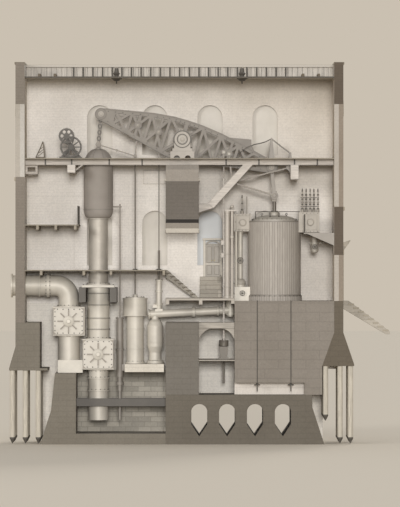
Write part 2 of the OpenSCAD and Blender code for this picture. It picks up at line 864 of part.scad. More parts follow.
module pump_deck() {
  low = pump_floor_z - board_t;
  color([0.62, 0.52, 0.37]) {
    difference() {
      box(west_in, -lever_half, front_y, back_y, low, pump_floor_z);
      box(main_x - 640, main_x + 600, -850, 850, low - e, pump_floor_z + e);
      box(cold_x - 120, -1100, -350, 350, low - e, pump_floor_z + e);
      box(feed_x - 350, feed_x + 180, -350, 350, low - e, pump_floor_z + e);
    }
    joist_row(west_in + 900, front_y, back_y, low);
    joist_row(main_x - 760, front_y, back_y, low);
    joist_row(main_x + 720, front_y, back_y, low);
    joist_row(-lever_half - 100, front_y, back_y, low);
  }
}

module drive_deck() {
  low = drive_floor_z - drive_floor_t;
  color([0.6, 0.52, 0.4]) difference() {
    union() {
      box(-lever_half, plinth_x, front_y, back_y, drive_floor_z - 120, drive_floor_z);
      box(-lever_half, -lever_half + 200, front_y, back_y, low, drive_floor_z - 120);
      box(lever_half, lever_half + 200, front_y, back_y, low, drive_floor_z - 120);
      box(plinth_x - 200, plinth_x, front_y, back_y, drive_floor_z - 300, drive_floor_z - 120);
    }
    box(plinth_x - 520, plinth_x + e, -340, 340, low - e, drive_floor_z + e);
    box(plug_x - 45 - run_gap, plug_x + 45 + run_gap, plug_y - 90 - run_gap, plug_y + run_gap, low - e, drive_floor_z + e);
  }
}

module basement_deck() {
  color([0.6, 0.52, 0.4]) difference() {
    box(lever_half, plinth_x, front_y, back_y, basement_z - board_t, basement_z);
    drum(plug_x, 425, basement_z - board_t - e, basement_z + e, 60);
  }
}

module cellar_beams() {
  color([0.6, 0.52, 0.4]) both() {
    box(lever_half, plinth_x, cellar_y, cellar_y + cellar_w, cellar_z - cellar_h, cellar_z);
    for (s = [0, 1]) slab_xz(cellar_y + 50, cellar_y + cellar_w - 50) translate([s ? plinth_x : lever_half, cellar_z - cellar_h])
      mirror([s, 0]) polygon([[0, 0], [620, 0], [360, -130], [150, -330], [0, -620]]);
  }
}

module cylinder_gallery() {
  color([0.5, 0.47, 0.42]) difference() {
    union() {
      box(cyl_gallery_x, east_in, front_y, back_y, cyl_gallery_z - board_t, cyl_gallery_z);
      both() slab_xz(half_w - 120, half_w) polygon([[east_in, cyl_gallery_z - board_t],
        [cyl_gallery_x + 200, cyl_gallery_z - board_t], [east_in, cyl_gallery_z - 700]]);
    }
    drum(cyl_x, 0, cyl_gallery_z - board_t - e, cyl_gallery_z + e, casing_r + 30);
    box(cyl_gallery_x - e, steam_chest_x + 60, -300, 300, cyl_gallery_z - board_t - e, cyl_gallery_z + e);
  }
}

module inner_flight() {
  rise = (pump_floor_z - drive_floor_z) / (tread_n + 1);
  run = 225;
  y0 = half_w - 100 - stair_w;
  color([0.55, 0.5, 0.43]) {
    for (i = [1 : tread_n]) {
      x = -lever_half + (i - 1) * run;
      box(x, x + run + 40, y0, y0 + stair_w, pump_floor_z - i * rise - 45, pump_floor_z - i * rise);
    }
    for (y = [y0 - 50, y0 + stair_w]) slab_xz(y, y + 50) polygon([[-lever_half, pump_floor_z],
      [-lever_half, pump_floor_z - rise - 230], [-lever_half + run * tread_n - 60, drive_floor_z],
      [-lever_half + run * tread_n + 240, drive_floor_z], [-lever_half + 60, pump_floor_z]]);
  }
}

module outer_flight() {
  rise = 1833 / 9;
  run = 270;
  color([0.6, 0.57, 0.5]) {
    box(east_out, east_out + 330, -door_w / 2 - 60, door_w / 2 + 60, door_sill_z - 150, door_sill_z);
    for (i = [1 : 8]) {
      x = east_out + 330 + (i - 1) * run;
      box(x - 20, x + run, -door_w / 2 - 60, door_w / 2 + 60, door_sill_z - i * rise - 60, door_sill_z - i * rise);
    }
    both() slab_xz(door_w / 2 + 60, door_w / 2 + 140) polygon([[east_out, door_sill_z], [east_out, door_sill_z - 420],
      [east_out + 330 + 8 * run - 120, door_sill_z - 9 * rise], [east_out + 330 + 8 * run + 100, door_sill_z - 9 * rise],
      [east_out + 330 + 8 * run + 100, door_sill_z - 9 * rise + 150], [east_out + 330, door_sill_z]]);
    slab_xz(-door_w / 2 - 60, door_w / 2 + 60) polygon([[east_out, door_sill_z + door_h + 180],
      [east_out, door_sill_z + door_h + 700], [east_out + 120, door_sill_z + door_h + 700],
      [east_out + 420, door_sill_z + door_h + 820], [east_out + 420, door_sill_z + door_h + 760]]);
  }
}

module hand_rails() {
  color([0.3, 0.3, 0.3]) {
    rail_row(gallery_x - 60, front_y + 60, back_y - 60, gallery_z, 5);
    both() rail_row(cyl_gallery_x + 60, casing_r - 560, half_w - 60, cyl_gallery_z, 3);
  }
}

module pedestal_pair() {
  color([0.4, 0.4, 0.39]) both() slab_xz(ped_in_y, ped_out_y) difference() {
    translate([-ped_half, lever_cap_z]) square([2 * ped_half, ped_top_z - lever_cap_z]);
    for (s = [-1, 1]) arch2d(s * 300, 330, lever_cap_z + 180, ped_top_z - 400);
  }
}

module bearing_pair() {
  color([0.3, 0.3, 0.3]) both() slab_xz(ped_in_y + 20, ped_out_y - 20) difference() {
    union() {
      translate([-bearing_r - 60, ped_top_z]) square([2 * bearing_r + 120, 160]);
      translate([-bearing_r + 40, ped_top_z + 160]) square([2 * bearing_r - 80, gudgeon_z - ped_top_z - 160]);
      translate([0, gudgeon_z]) circle(r = bearing_r);
    }
    translate([0, gudgeon_z]) circle(r = journal_r + run_gap);
  }
}

module place_beam() {
  translate([0, 0, gudgeon_z]) rotate([0, tilt, 0]) children();
}

module flitch2d() {
  top = [[-pump_arm, beam_end], [-3300, 640], [-1900, 930], [-800, beam_up - 20], [0, beam_up], [800, beam_up - 20],
    [2000, 950], [3600, 650], [steam_arm, beam_end]];
  low = [[steam_arm, -beam_end], [3200, -650], [1400, -1000], [600, -beam_down + 20], [0, -beam_down],
    [-600, -beam_down + 20], [-1400, -1000], [-3000, -650], [-pump_arm, -beam_end]];
  difference() {
    union() {
      difference() {
        polygon(concat(top, low));
        polygon([[-3900, 300], [-3300, 640 - chord], [-1900, 930 - chord], [-800, beam_up - 20 - chord],
          [0, beam_up - chord], [800, beam_up - 20 - chord], [2000, 950 - chord], [3600, 650 - chord], [4300, 280],
          [4300, -250], [3200, -650 + chord], [1400, -1000 + chord], [600, -beam_down + 20 + chord],
          [0, -beam_down + chord], [-600, -beam_down + 20 + chord], [-1400, -1000 + chord],
          [-3000, -650 + chord], [-3900, -260]]);
      }
      translate([-pump_arm, 0]) circle(r = beam_end);
      translate([steam_arm, 0]) circle(r = beam_end);
      circle(r = hub_r);
      for (s = [-1, 1]) {
        strut2d(s * 950, -900, s * 950, 950, strut_w);
        strut2d(s * 2000, -800, s * 2000, 850, strut_w);
        strut2d(s * 3050, -600, s * 3050, 650, strut_w);
        strut2d(s * 950, -900, s * 2000, 850, strut_w);
        strut2d(s * 950, 900, s * 2000, -800, strut_w);
        strut2d(s * 2000, -750, s * 3050, 600, strut_w);
        strut2d(s * 2000, 800, s * 3050, -600, strut_w);
        strut2d(s * 3050, -560, s * 3950, 400, strut_w);
        strut2d(s * 3050, 600, s * 3950, -340, strut_w);
        strut2d(s * 350, 350, s * 900, 950, strut_w);
        strut2d(s * 350, -350, s * 900, -950, strut_w);
      }
      strut2d(0, -beam_down + 60, 0, beam_up - 60, 220);
      translate([-air_arm, 0]) circle(r = 230);
      translate([-feed_arm, 0]) circle(r = 200);
      translate([back_arm, 0]) circle(r = 200);
      translate([plug_arm, 0]) circle(r = 160);
      strut2d(-air_arm, -700, -air_arm, 700, strut_w);
      strut2d(-feed_arm, -950, -feed_arm, 950, strut_w);
      strut2d(back_arm, -700, back_arm, 700, strut_w);
    }
    circle(r = gudgeon_r);
    translate([-pump_arm, 0]) circle(r = end_pin_r);
    translate([steam_arm, 0]) circle(r = end_pin_r);
    translate([-air_arm, 0]) circle(r = stud_r);
    translate([-feed_arm, 0]) circle(r = stud_r);
    translate([back_arm, 0]) circle(r = stud_r);
    translate([plug_arm, 0]) circle(r = stud_r);
  }
}

module beam_flitches() {
  color([0.36, 0.37, 0.36]) place_beam() both() slab_xz(flitch_in_y, flitch_out) flitch2d();
}

module gudgeon_bar() {
  color([0.62, 0.62, 0.6]) place_beam() {
    drum_y(0, 0, -flitch_out - 40, flitch_out + 40, gudgeon_r);
    both() drum_y(0, 0, flitch_out + 40, ped_out_y + 40, journal_r);
  }
}

module pin_bars() {
  color([0.62, 0.62, 0.6]) place_beam() {
    drum_y(-pump_arm, 0, -flitch_out - 60, flitch_out + 60, end_pin_r);
    drum_y(steam_arm, 0, -flitch_out - 60, flitch_out + 60, end_pin_r);
    drum_y(-air_arm, 0, -flitch_out - 40, flitch_out + 40, stud_r);
    drum_y(-feed_arm, 0, -flitch_out - 40, flitch_out + 40, stud_r);
    drum_y(back_arm, 0, -side_out - 40, side_out + 40, stud_r);
    drum_y(plug_arm, 0, -side_out - 40, flitch_out + 40, stud_r);
  }
}

module beam_catch() {
  color([0.36, 0.37, 0.36]) place_beam() slab_xz(-flitch_out, flitch_out) polygon([[2400, 790], [2450, 862],
    [3630, 1120], [3715, 840], [3960, 560], [3600, 600]]);
}

module strap2d(x0, z0, x1, z1, r0, r1, w, hole) {
  difference() {
    union() {
      translate([x0, z0]) circle(r = r0);
      translate([x1, z1]) circle(r = r1);
      strut2d(x0, z0, x1, z1, w);
    }
    translate([x0, z0]) circle(r = hole);
  }
}

module piston_link() {
  color([0.66, 0.66, 0.64]) {
    both() slab_xz(strap_in, strap_out) strap2d(steam_x, steam_z, cyl_x, cross_z, eye_r, eye_r, strap_w,
      end_pin_r + run_gap);
    both() drum_y(cyl_x, cross_z, strap_out, strap_out + 60 + side_t, 75);
    slab_xz(-strap_in, strap_in) translate([(steam_x + cyl_x) / 2 - 20, (steam_z + cross_z) / 2 + 60])
      rotate(6) square([60, 400], center = true);
  }
}

module parallel_bars() {
  y0 = strap_out + 30;
  color([0.66, 0.66, 0.64]) both() slab_xz(y0, y0 + side_t) difference() {
    union() {
      translate([back_low_x, back_low_z]) circle(r = 110);
      translate([cyl_x, cross_z]) circle(r = 130);
      strut2d(back_low_x, back_low_z, cyl_x, cross_z, 90);
    }
    translate([back_low_x, back_low_z]) circle(r = 50 + run_gap);
    translate([cyl_x, cross_z]) circle(r = 75 + run_gap);
  }
}

module back_link() {
  color([0.66, 0.66, 0.64]) {
    both() slab_xz(side_in, side_out) strap2d(back_x, back_z, back_low_x, back_low_z, 130, 110, 90, stud_r + run_gap);
    both() drum_y(back_low_x, back_low_z, strap_out + 20, side_in, 50);
  }
}

module radius_rods() {
  y0 = side_out + 20;
  color([0.66, 0.66, 0.64]) both() slab_xz(y0, y0 + side_t) difference() {
    union() {
      translate([radius_pivot_x, radius_pivot_z]) circle(r = pivot_eye_r);
      translate([back_low_x, back_low_z]) circle(r = 110);
      strut2d(radius_pivot_x, radius_pivot_z, back_low_x, back_low_z, 80);
    }
    translate([radius_pivot_x, radius_pivot_z]) circle(r = 50 + run_gap);
  }
}

module radius_brackets() {
  y0 = side_out + 20;
  color([0.4, 0.4, 0.39]) both() {
    drum_y(radius_pivot_x, radius_pivot_z, y0 - 10, y0 + side_t + 20, 50);
    slab_xz(y0 + side_t + 20, y0 + side_t + 90) polygon([[radius_pivot_x - 130, radius_pivot_z + 110],
      [cross_east_x, radius_pivot_z + 110], [cross_east_x, radius_pivot_z - 320], [radius_pivot_x - 20, radius_pivot_z - 130],
      [radius_pivot_x - 130, radius_pivot_z - 60]]);
  }
}

module piston_rod() {
  low = cyl_low_z + 60 + run_gap + 60;
  color([0.72, 0.72, 0.7]) {
    drum(cyl_x, 0, low + piston_t / 2, cross_z - 200, piston_rod_r);
    drum(cyl_x, 0, low, low + piston_t, bore_r - piston_gap);
    box(cyl_x - 130, cyl_x + 130, -crosshead_y, crosshead_y, cross_z - 330, cross_z + 240);
    drum_y(cyl_x, cross_z, -crosshead_y - 0, crosshead_y, 200);
  }
}

module steam_cylinder() {
  color([0.42, 0.33, 0.26]) difference() {
    union() {
      drum(cyl_x, 0, cyl_base_z, cyl_low_z, base_r);
      drum(cyl_x, 0, cyl_low_z, casing_top_z, casing_r);
    }
    drum(cyl_x, 0, cyl_low_z + 60, casing_top_z + e, bore_r);
  }
}

module cylinder_cover() {
  color([0.55, 0.55, 0.53]) translate([cyl_x, 0, casing_top_z]) rotate_extrude() polygon([
    [piston_rod_r + run_gap, 0], [cover_r, 0], [cover_r, 70], [cover_r - 90, 90], [cover_r - 260, 190],
    [cover_r - 560, 260], [stuffing_r, cover_h], [stuffing_r, cover_h + stuffing_h],
    [piston_rod_r + run_gap, cover_h + stuffing_h]]);
}

module upper_chest() {
  $fn = 96;
  color([0.4, 0.4, 0.39]) difference() {
    union() {
      box(top_chest_x, cyl_x - casing_r + 260, -top_chest_y, top_chest_y, top_chest_z, casing_top_z);
      box(top_chest_x, cyl_x - cover_r - 40, -top_chest_y, top_chest_y, casing_top_z, top_chest_top);
      for (y = [-300, 0, 300]) {
        drum(top_chest_x + 454, y, top_chest_top, top_chest_top + 900, 30);
        drum(top_chest_x + 454, y, top_chest_top, top_chest_top + spindle_gland, 100);
      }
      both() drum(top_chest_x + 710, 250, top_chest_top, top_chest_top + 950, 30);
    }
    drum(cyl_x, 0, top_chest_z - e, casing_top_z, casing_r);
    drum(cyl_x, 0, casing_top_z - e, casing_top_z + 130, cover_r + 20);
  }
}

module side_chest() {
  $fn = 96;
  color([0.4, 0.4, 0.39]) difference() {
    union() {
      box(cyl_x + casing_r - 300, steam_chest_x, -steam_chest_y, steam_chest_y, steam_chest_z, casing_top_z);
      box(cyl_x + cover_r + 80, steam_chest_x, -steam_chest_y, steam_chest_y, casing_top_z, steam_chest_top);
      for (i = [0 : 4]) {
        x = cyl_x + casing_r + 80 + i * 215;
        y = (i % 2) * 300 - 150;
        drum(x, y, steam_chest_top, spindle_top_z, 32);
        drum(x, y, steam_chest_top, steam_chest_top + spindle_gland, 85);
      }
      drum(drain_x, 0, drain_low_z, steam_chest_z, 190);
      drum(drain_x, 0, steam_chest_z - 100, steam_chest_z, 265);
    }
    drum(cyl_x, 0, steam_chest_z - e, casing_top_z, casing_r);
    drum(cyl_x, 0, casing_top_z - e, casing_top_z + 130, cover_r + 20);
  }
}

module exhaust_box() {
  $fn = 96;
  color([0.4, 0.4, 0.39]) difference() {
    union() {
      box(low_chest_x, cyl_x - casing_r + 200, -560, 560, door_sill_z, door_sill_z + low_chest_h);
      drum(low_chest_x + 320, 0, door_sill_z + low_chest_h - 20, door_sill_z + low_chest_h + 150, 270);
    }
    drum(cyl_x, 0, door_sill_z - e, cyl_low_z, base_r);
    drum(cyl_x, 0, cyl_low_z - e, door_sill_z + low_chest_h + e, casing_r);
  }
}

module equilibrium_pipes() {
  low = door_sill_z + low_chest_h + 150;
  color([0.6, 0.58, 0.54]) {
    drum(low_chest_x + 320, 0, low - 40, top_chest_z, 125);
    drum(low_chest_x + 320, 0, low, low + 80, 190);
    drum(low_chest_x + 320, 0, top_chest_z - 80, top_chest_z, 190);
    both() drum(low_chest_x + 85, 400, door_sill_z + low_chest_h - 40, top_chest_z, 70);
  }
}

module gear_columns() {
  color([0.55, 0.55, 0.53]) {
    both() {
      drum(gear_x, gear_y, drive_floor_z, drive_floor_z + 140, gear_r + 50);
      drum(gear_x, gear_y, drive_floor_z + 140, gear_top_z, gear_r);
      drum(gear_x, gear_y, gear_top_z - 110, gear_top_z, gear_r + 35);
      drum(slender_x, gear_y, drive_floor_z, drive_floor_z + 120, slender_r + 40);
      drum(slender_x, gear_y, drive_floor_z + 120, gear_top_z, slender_r);
      drum(slender_x, gear_y, gear_top_z - collar_drop - 160, gear_top_z - collar_drop, slender_r + 35);
      box(gear_x - 150, slender_x + 280, gear_y - 110, gear_y + 110, gear_top_z, gear_top_z + 70);
      drum(slender_x, gear_y, gear_top_z + 70, gear_top_z + 200, 40);
      translate([slender_x, gear_y, gear_top_z + 250]) sphere(r = 100);
    }
    for (z = [518, 1058]) drum_y(slender_x, drive_floor_z + z, -gear_y, gear_y, 50);
    drum_y(slender_x, gear_top_z - gear_rail_drop, -gear_y, gear_y, 50);
  }
}

module cataract() {
  color([0.4, 0.4, 0.39]) {
    slab_xz(200, 650) translate([plug_x, basement_z]) polygon([[-300, 0], [300, 0], [300, 50], [170, 120],
      [230, 330], [230, 690], [-230, 690], [-230, 330], [-170, 120], [-300, 50]]);
    translate([plug_x, 425, basement_z]) rotate_extrude() polygon([[0, 690], [160, 690], [260, 720], [260, 1040],
      [90, 1040], [90, 1110], [28, 1110], [28, drive_floor_z - 120 - basement_z], [0, drive_floor_z - 120 - basement_z]]);
    drum(plug_x, 425, 3273, basement_z + 20, 60 - run_gap);
  }
}

module along_eduction() {
  translate([condenser_x, 0, eduction_z]) rotate([0, -eduction_rise, 0]) children();
}

module eduction_pipe() {
  x2 = plinth_x - 230;
  low = eduction_z + (x2 - condenser_x) * tan(eduction_rise) - eduction_r;
  color([0.6, 0.58, 0.54]) {
    along_eduction() {
      drum_x(0, -361, x2 - condenser_x, eduction_r);
      drum_x(0, -361, -290, eduction_r + 60);
      drum_x(0, 2040, 2210, eduction_r + 75);
      drum_x(0, 3400, 3520, eduction_r + 60);
    }
    drum(x2, 0, low - 60, door_sill_z + 300, eduction_r + 8);
    drum(x2, 0, low - 130, low - 60, eduction_r - 60);
    box(x2, low_chest_x, -200, 200, door_sill_z + 20, door_sill_z + 300);
  }
}

module condenser() {
  $fn = 96;
  color([0.5, 0.5, 0.48]) difference() {
    translate([condenser_x, 0, 0]) rotate_extrude() polygon([[0, bed_top_z], [condenser_r + 20, bed_top_z],
      [condenser_r + 20, bed_top_z + 150], [condenser_r - 90, bed_top_z + 190], [condenser_r - 110, bed_top_z + 600],
      [condenser_r, bed_top_z + 930], [condenser_r, eduction_z - 640], [condenser_r - 90, eduction_z - 420],
      [200, eduction_z - 290], [200, eduction_z], [0, eduction_z]]);
    along_eduction() drum_x(0, -400, 2000, eduction_r);
  }
}

module air_pump() {
  color([0.5, 0.5, 0.48]) difference() {
    union() {
      drum(air_rod_x, 0, bed_top_z, bed_top_z + 115, air_low_r - 10 + 60);
      drum(air_rod_x, 0, bed_top_z + 115, air_mid_z, air_low_r);
      drum(air_rod_x, 0, air_mid_z, air_top_z, air_high_r);
      drum(air_rod_x, 0, air_top_z, air_top_z + 60, air_high_r - 120);
      drum(air_rod_x, 0, air_top_z + 60, air_top_z + 200, 130);
    }
    drum(air_rod_x, 0, bed_top_z + 200, air_top_z - 100, air_low_r - 60);
    drum(air_rod_x, 0, air_top_z - 100 - e, air_top_z + 201, light_rod_r + run_gap);
  }
}

module feed_pump() {
  color([0.5, 0.5, 0.48]) difference() {
    union() {
      box(feed_x - 210, feed_x + 210, -180, 180, eduction_z, eduction_z + eduction_r + 60);
      drum(feed_x, 0, eduction_z + eduction_r + 60, feed_top_z, feed_r);
      drum(feed_x, 0, 7600, 7690, 215);
      drum(feed_x, 0, 8300, 8390, 215);
      drum(feed_x, 0, feed_top_z - 90, feed_top_z, 215);
      box(feed_x - 330, feed_x, -110, 110, 7440, 7620);
    }
    along_eduction() drum_x(0, -400, 2000, eduction_r);
    drum(feed_x, 0, 7700, feed_top_z + e, 60 + run_gap);
  }
}

module cold_water_pump() {
  color([0.45, 0.45, 0.43]) difference() {
    union() {
      drum(cold_x, 0, cold_low_z, cold_top_z, cold_r);
      drum(cold_x, 0, 5100, 5180, cold_r + 50);
      drum(cold_x, 0, cold_top_z - 80, cold_top_z, cold_r + 40);
      drum(cold_x, 0, 2860, cold_low_z, 130);
      drum(cold_x, 0, 3200, 3380, cold_r + 30);
      drum(cold_x, 0, cold_foot_z, 2860, 85);
      box(cold_x, bed_x1, -150, 150, bed_z + 40, bed_top_z - 40);
    }
    drum(cold_x, 0, 3800, cold_top_z + e, light_rod_r + run_gap);
  }
}

module pump_bed() {
  color([0.68, 0.64, 0.57]) box(bed_x1, bed_x2, front_y, back_y, bed_z, bed_top_z);
}

module barrel_tube() {
  color([0.55, 0.55, 0.53]) difference() {
    union() {
      drum(main_x, 0, barrel_low_z, barrel_top_z, barrel_r);
      for (z = [6226, 6834, 7558, 8201]) drum(main_x, 0, z, z + flange_t, flange_r - 60);
      drum(main_x, 0, barrel_low_z, barrel_low_z + flange_t, flange_r);
    }
    drum(main_x, 0, barrel_low_z - e, barrel_top_z + e, barrel_r - barrel_wall);
  }
}

module pump_gland() {
  color([0.4, 0.4, 0.39]) difference() {
    union() {
      box(main_x - gland_half, main_x + gland_half, -flange_r, flange_r, gland_z, gland_z + gland_t - 90);
      drum(main_x, 0, gland_z + gland_t - 90, gland_z + gland_t, flange_r - 40);
    }
    drum(main_x, 0, gland_z - e, gland_z + gland_t + e, plunger_r + run_gap);
  }
}

module girder_pair() {
  color([0.4, 0.4, 0.39]) {
    box(main_x - girder_in - girder_w, main_x - girder_in, front_y, back_y, girder_z, gland_z);
    box(main_x + girder_in, main_x + girder_in + girder_w, front_y, back_y, girder_z, gland_z);
  }
}

module chest_door(x, z, w, h) {
  slab_xz(-chest_y - 60, -chest_y) translate([x, z]) polygon([[-w / 2 + 180, -h / 2 + 40], [w / 2 - 180, -h / 2 + 40],
    [w / 2 - 40, -h / 2 + 180], [w / 2 - 40, h / 2 - 180], [w / 2 - 180, h / 2 - 40], [-w / 2 + 180, h / 2 - 40],
    [-w / 2 + 40, h / 2 - 180], [-w / 2 + 40, -h / 2 + 180]]);
  slab_xz(-chest_y - 160, -chest_y - 60) translate([x, z]) {
    circle(r = 230);
    for (a = [0 : 45 : 315]) strut2d(0, 0, 620 * cos(a), 620 * sin(a), 70);
  }
}

module suction_chest() {
  h = barrel_low_z - suction_chest_z;
  color([0.52, 0.52, 0.5]) {
    box(main_x - suction_chest_w / 2, main_x + suction_chest_w / 2, -chest_y, chest_y, suction_chest_z, barrel_low_z);
    chest_door(main_x, suction_chest_z + h / 2, suction_chest_w, h);
  }
}

module delivery_chest() {
  h = delivery_chest_top - delivery_chest_z;
  color([0.52, 0.52, 0.5]) {
    box(delivery_x - delivery_chest_w / 2, main_x - flange_r - 20, -chest_y, chest_y, delivery_chest_z, delivery_chest_top);
    chest_door(delivery_x, delivery_chest_z + h / 2, delivery_chest_w, h);
  }
}

module connecting_bend() {
  color([0.55, 0.55, 0.53]) {
    drum(delivery_x, 0, suction_chest_z + 500, delivery_chest_z, 600);
    drum(delivery_x, 0, delivery_chest_z - 90, delivery_chest_z, 690);
    box(delivery_x - 600, main_x - suction_chest_w / 2, -600, 600, pit_top_z, suction_chest_z + 500);
  }
}

module bend_piece() {
  color([0.55, 0.55, 0.53]) {
    drum(delivery_x, 0, delivery_chest_top, delivery_z - bend_r, delivery_r);
    drum(delivery_x, 0, delivery_chest_top, delivery_chest_top + 90, delivery_r + 90);
    translate([delivery_x - bend_r, 0, delivery_z - bend_r]) rotate([90, 0, 0]) rotate_extrude(angle = 90)
      translate([bend_r, 0]) circle(r = delivery_r);
    drum_x(delivery_z, joint_x, joint_x + 90, delivery_r + 90);
    drum_x(delivery_z, joint_x, delivery_x - bend_r, delivery_r);
  }
}

module delivery_pipe() {
  color([0.6, 0.58, 0.54]) difference() {
    union() {
      drum_x(delivery_z, delivery_end_x, joint_x, delivery_r);
      drum_x(delivery_z, joint_x - 90, joint_x, delivery_r + 90);
      drum_x(delivery_z, joint_x - joint_pitch, joint_x - joint_pitch + 90, delivery_r + 90);
      drum_x(delivery_z, delivery_end_x, delivery_end_x + 90, delivery_r + 90);
    }
    drum_x(delivery_z, delivery_end_x - e, joint_x + e, delivery_r - pipe_wall);
  }
}

module suction_pipe() {
  color([0.55, 0.55, 0.53]) difference() {
    union() {
      drum(main_x, 0, suction_foot_z, suction_chest_z, suction_r);
      drum(main_x, 0, suction_chest_z - 90, suction_chest_z, suction_r + 70);
      drum(main_x, 0, 3540, 3630, suction_r + 70);
      drum(main_x, 0, 2860, 2950, suction_r + 70);
    }
    drum(main_x, 0, suction_foot_z - e, suction_chest_z + e, suction_r - pipe_wall);
  }
}

module pit_girders() {
  color([0.4, 0.4, 0.39]) both() {
    box(pit_in_x, -lever_half, 620, 800, pit_girder_z, pit_girder_z + pit_girder_h);
  }
}

module plunger() {
  color([0.7, 0.7, 0.68]) difference() {
    drum(main_x, 0, plunger_low_z, case_low_z - case_round, plunger_r);
    drum(main_x, 0, plunger_low_z + 100, case_low_z - case_round - 100, plunger_r - plunger_wall);
  }
}

module case_shell() {
  low = case_low_z - case_round;
  dome = case_apex_z - case_top_z;
  color([0.5, 0.5, 0.48]) {
    translate([main_x, 0, 0]) rotate_extrude() difference() {
      polygon(concat([[0, low], [plunger_r + 40, low]],
        [for (a = [15 : 15 : 90]) [plunger_r + 40 + (case_r - plunger_r - 40) * sin(a), case_low_z - case_round * cos(a)]],
        [for (a = [0 : 10 : 80]) [case_r * (1 - pow(a / 90, 2)), case_top_z + dome * sin(a)]],
        [[0, case_apex_z]]));
      translate([0, case_low_z]) square([case_r - case_wall, case_top_z - case_low_z]);
    }
    slab_xz(-90, 90) difference() {
      union() {
        translate([main_x - 110, case_apex_z - 120]) square([220, case_eye_z - case_apex_z + 120]);
        translate([main_x, case_eye_z]) circle(r = 150);
      }
    }
  }
}

module cold_pump_rod() {
  color([0.62, 0.62, 0.6]) {
    drum(cold_x, 0, cold_top_z - 200, cold_arm_z - 45, light_rod_r);
    box(main_x + case_r - 40, cold_x + 90, -60, 60, cold_arm_z - 45, cold_arm_z + 45);
    drum(cold_x, 0, cold_arm_z + 45, cold_arm_z + 150, 45);
  }
}

module pump_link() {
  color([0.66, 0.66, 0.64]) both() {
    slab_xz(90 + link_gap, 90 + link_gap + strap_t) strap2d(pump_x, pump_z, main_x, case_eye_z, eye_r, 150, 170,
      end_pin_r + run_gap);
    drum_y(main_x, case_eye_z, 90 + link_gap + strap_t - 20, bar_y + 45, 50);
  }
}

module air_pump_link() {
  color([0.66, 0.66, 0.64]) both() {
    slab_xz(60 + link_gap, 110 + link_gap) strap2d(air_x, air_z, air_rod_x, air_rod_z, 120, 100, 70, stud_r + run_gap);
    drum_y(air_rod_x, air_rod_z, 90 + link_gap, bar_y + 45, 40);
  }
}

module pump_side_bars() {
  color([0.66, 0.66, 0.64]) both() slab_xz(bar_y, bar_y + 40) difference() {
    union() {
      translate([main_x, case_eye_z]) circle(r = 95);
      translate([air_rod_x, air_rod_z]) circle(r = 85);
      strut2d(main_x, case_eye_z, air_rod_x, air_rod_z, 60);
      translate([(main_x + air_rod_x) / 2, (case_eye_z + air_rod_z) / 2]) circle(r = 60);
    }
    translate([main_x, case_eye_z]) circle(r = 50 + run_gap);
    translate([air_rod_x, air_rod_z]) circle(r = 40 + run_gap);
  }
}

module air_pump_rod() {
  color([0.66, 0.66, 0.64]) {
    drum(air_rod_x, 0, air_top_z - 300, air_rod_z - 160, light_rod_r);
    box(air_rod_x - 70, air_rod_x + 70, -60, 60, air_rod_z - 160, air_rod_z + 90);
  }
}

module feed_pump_link() {
  color([0.66, 0.66, 0.64]) both() slab_xz(50 + link_gap, 90 + link_gap) strap2d(feed_x, feed_z, feed_x,
    feed_z - feed_link_dz, 120, 90, 60, stud_r + run_gap);
}

module feed_pump_rod() {
  z1 = feed_z - feed_link_dz;
  color([0.66, 0.66, 0.64]) {
    drum(feed_x, 0, ram_low_z, ram_top_z, 60);
    drum(feed_x, 0, ram_top_z, z1 - 120, 26);
    box(feed_x - 55, feed_x + 55, -50, 50, z1 - 120, z1 + 80);
  }
}

module plug_link() {
  color([0.66, 0.66, 0.64]) slab_xz(-side_out, -side_in) strap2d(plug_x, plug_z, plug_x, plug_z - plug_link_dz, 120,
    90, 70, stud_r + run_gap);
}

module plug_rod() {
  z1 = plug_z - plug_link_dz;
  y1 = plug_y;
  color([0.55, 0.45, 0.32]) {
    box(plug_x - 45, plug_x + 45, y1 - 90, y1, plug_low_z, z1 + 80);
    for (i = [0, 1]) box(plug_x - 150, plug_x + 45, y1 - 150, y1 - 90, tappet_z + i * tappet_pitch,
      tappet_z + i * tappet_pitch + 260);
  }
}

module winch() {
  y0 = spring_in_y + 60;
  color([0.35, 0.35, 0.34]) {
    for (s = [-1, 1]) slab_xz(s > 0 ? y0 : -y0 - 100, s > 0 ? y0 + 100 : -y0) {
      strut2d(winch_x - 520, spring_top_z + 60, winch_x, winch_z, 110);
      strut2d(winch_x + 480, spring_top_z + 60, winch_x, winch_z, 110);
      strut2d(winch_x, winch_z, pinion_x, pinion_z, 120);
      translate([winch_x, winch_z]) circle(r = 130);
      translate([pinion_x, pinion_z]) circle(r = 100);
      translate([winch_x - 640, spring_top_z]) square([1200, 90]);
    }
    drum_y(winch_x, winch_z, -y0 - 240, y0, 60);
    drum_y(winch_x, winch_z, -y0 + 60, y0 - 60, 170);
    drum_y(pinion_x, pinion_z, -y0 - 340, y0, 45);
    slab_xz(-y0 - 210, -y0 - 140) translate([winch_x, winch_z]) wheel2d(winch_r, 10, 60);
    slab_xz(-y0 - 320, -y0 - 250) translate([pinion_x, pinion_z]) difference() {
      circle(r = pinion_r);
      for (i = [0 : 5]) translate([pinion_r * 0.6 * cos(i * 60), pinion_r * 0.6 * sin(i * 60)]) circle(r = pinion_r * 0.21);
    }
  }
}

module wheel2d(r, n, w) {
  difference() {
    circle(r = r);
    circle(r = r - 85);
  }
  circle(r = r * 0.24);
  for (i = [0 : n - 1]) strut2d(0, 0, (r - 40) * cos(i * 360 / n), (r - 40) * sin(i * 360 / n), w);
}

module back_footing() {
  footing_steps();
  wall_course();
}

module lever_wall_head() {
  lever_arch();
  lever_cap();
}

module driving_floor() {
  drive_deck();
  basement_deck();
  cellar_beams();
}

module beam() {
  beam_flitches();
  beam_catch();
}

module beam_pins() {
  gudgeon_bar();
  pin_bars();
}

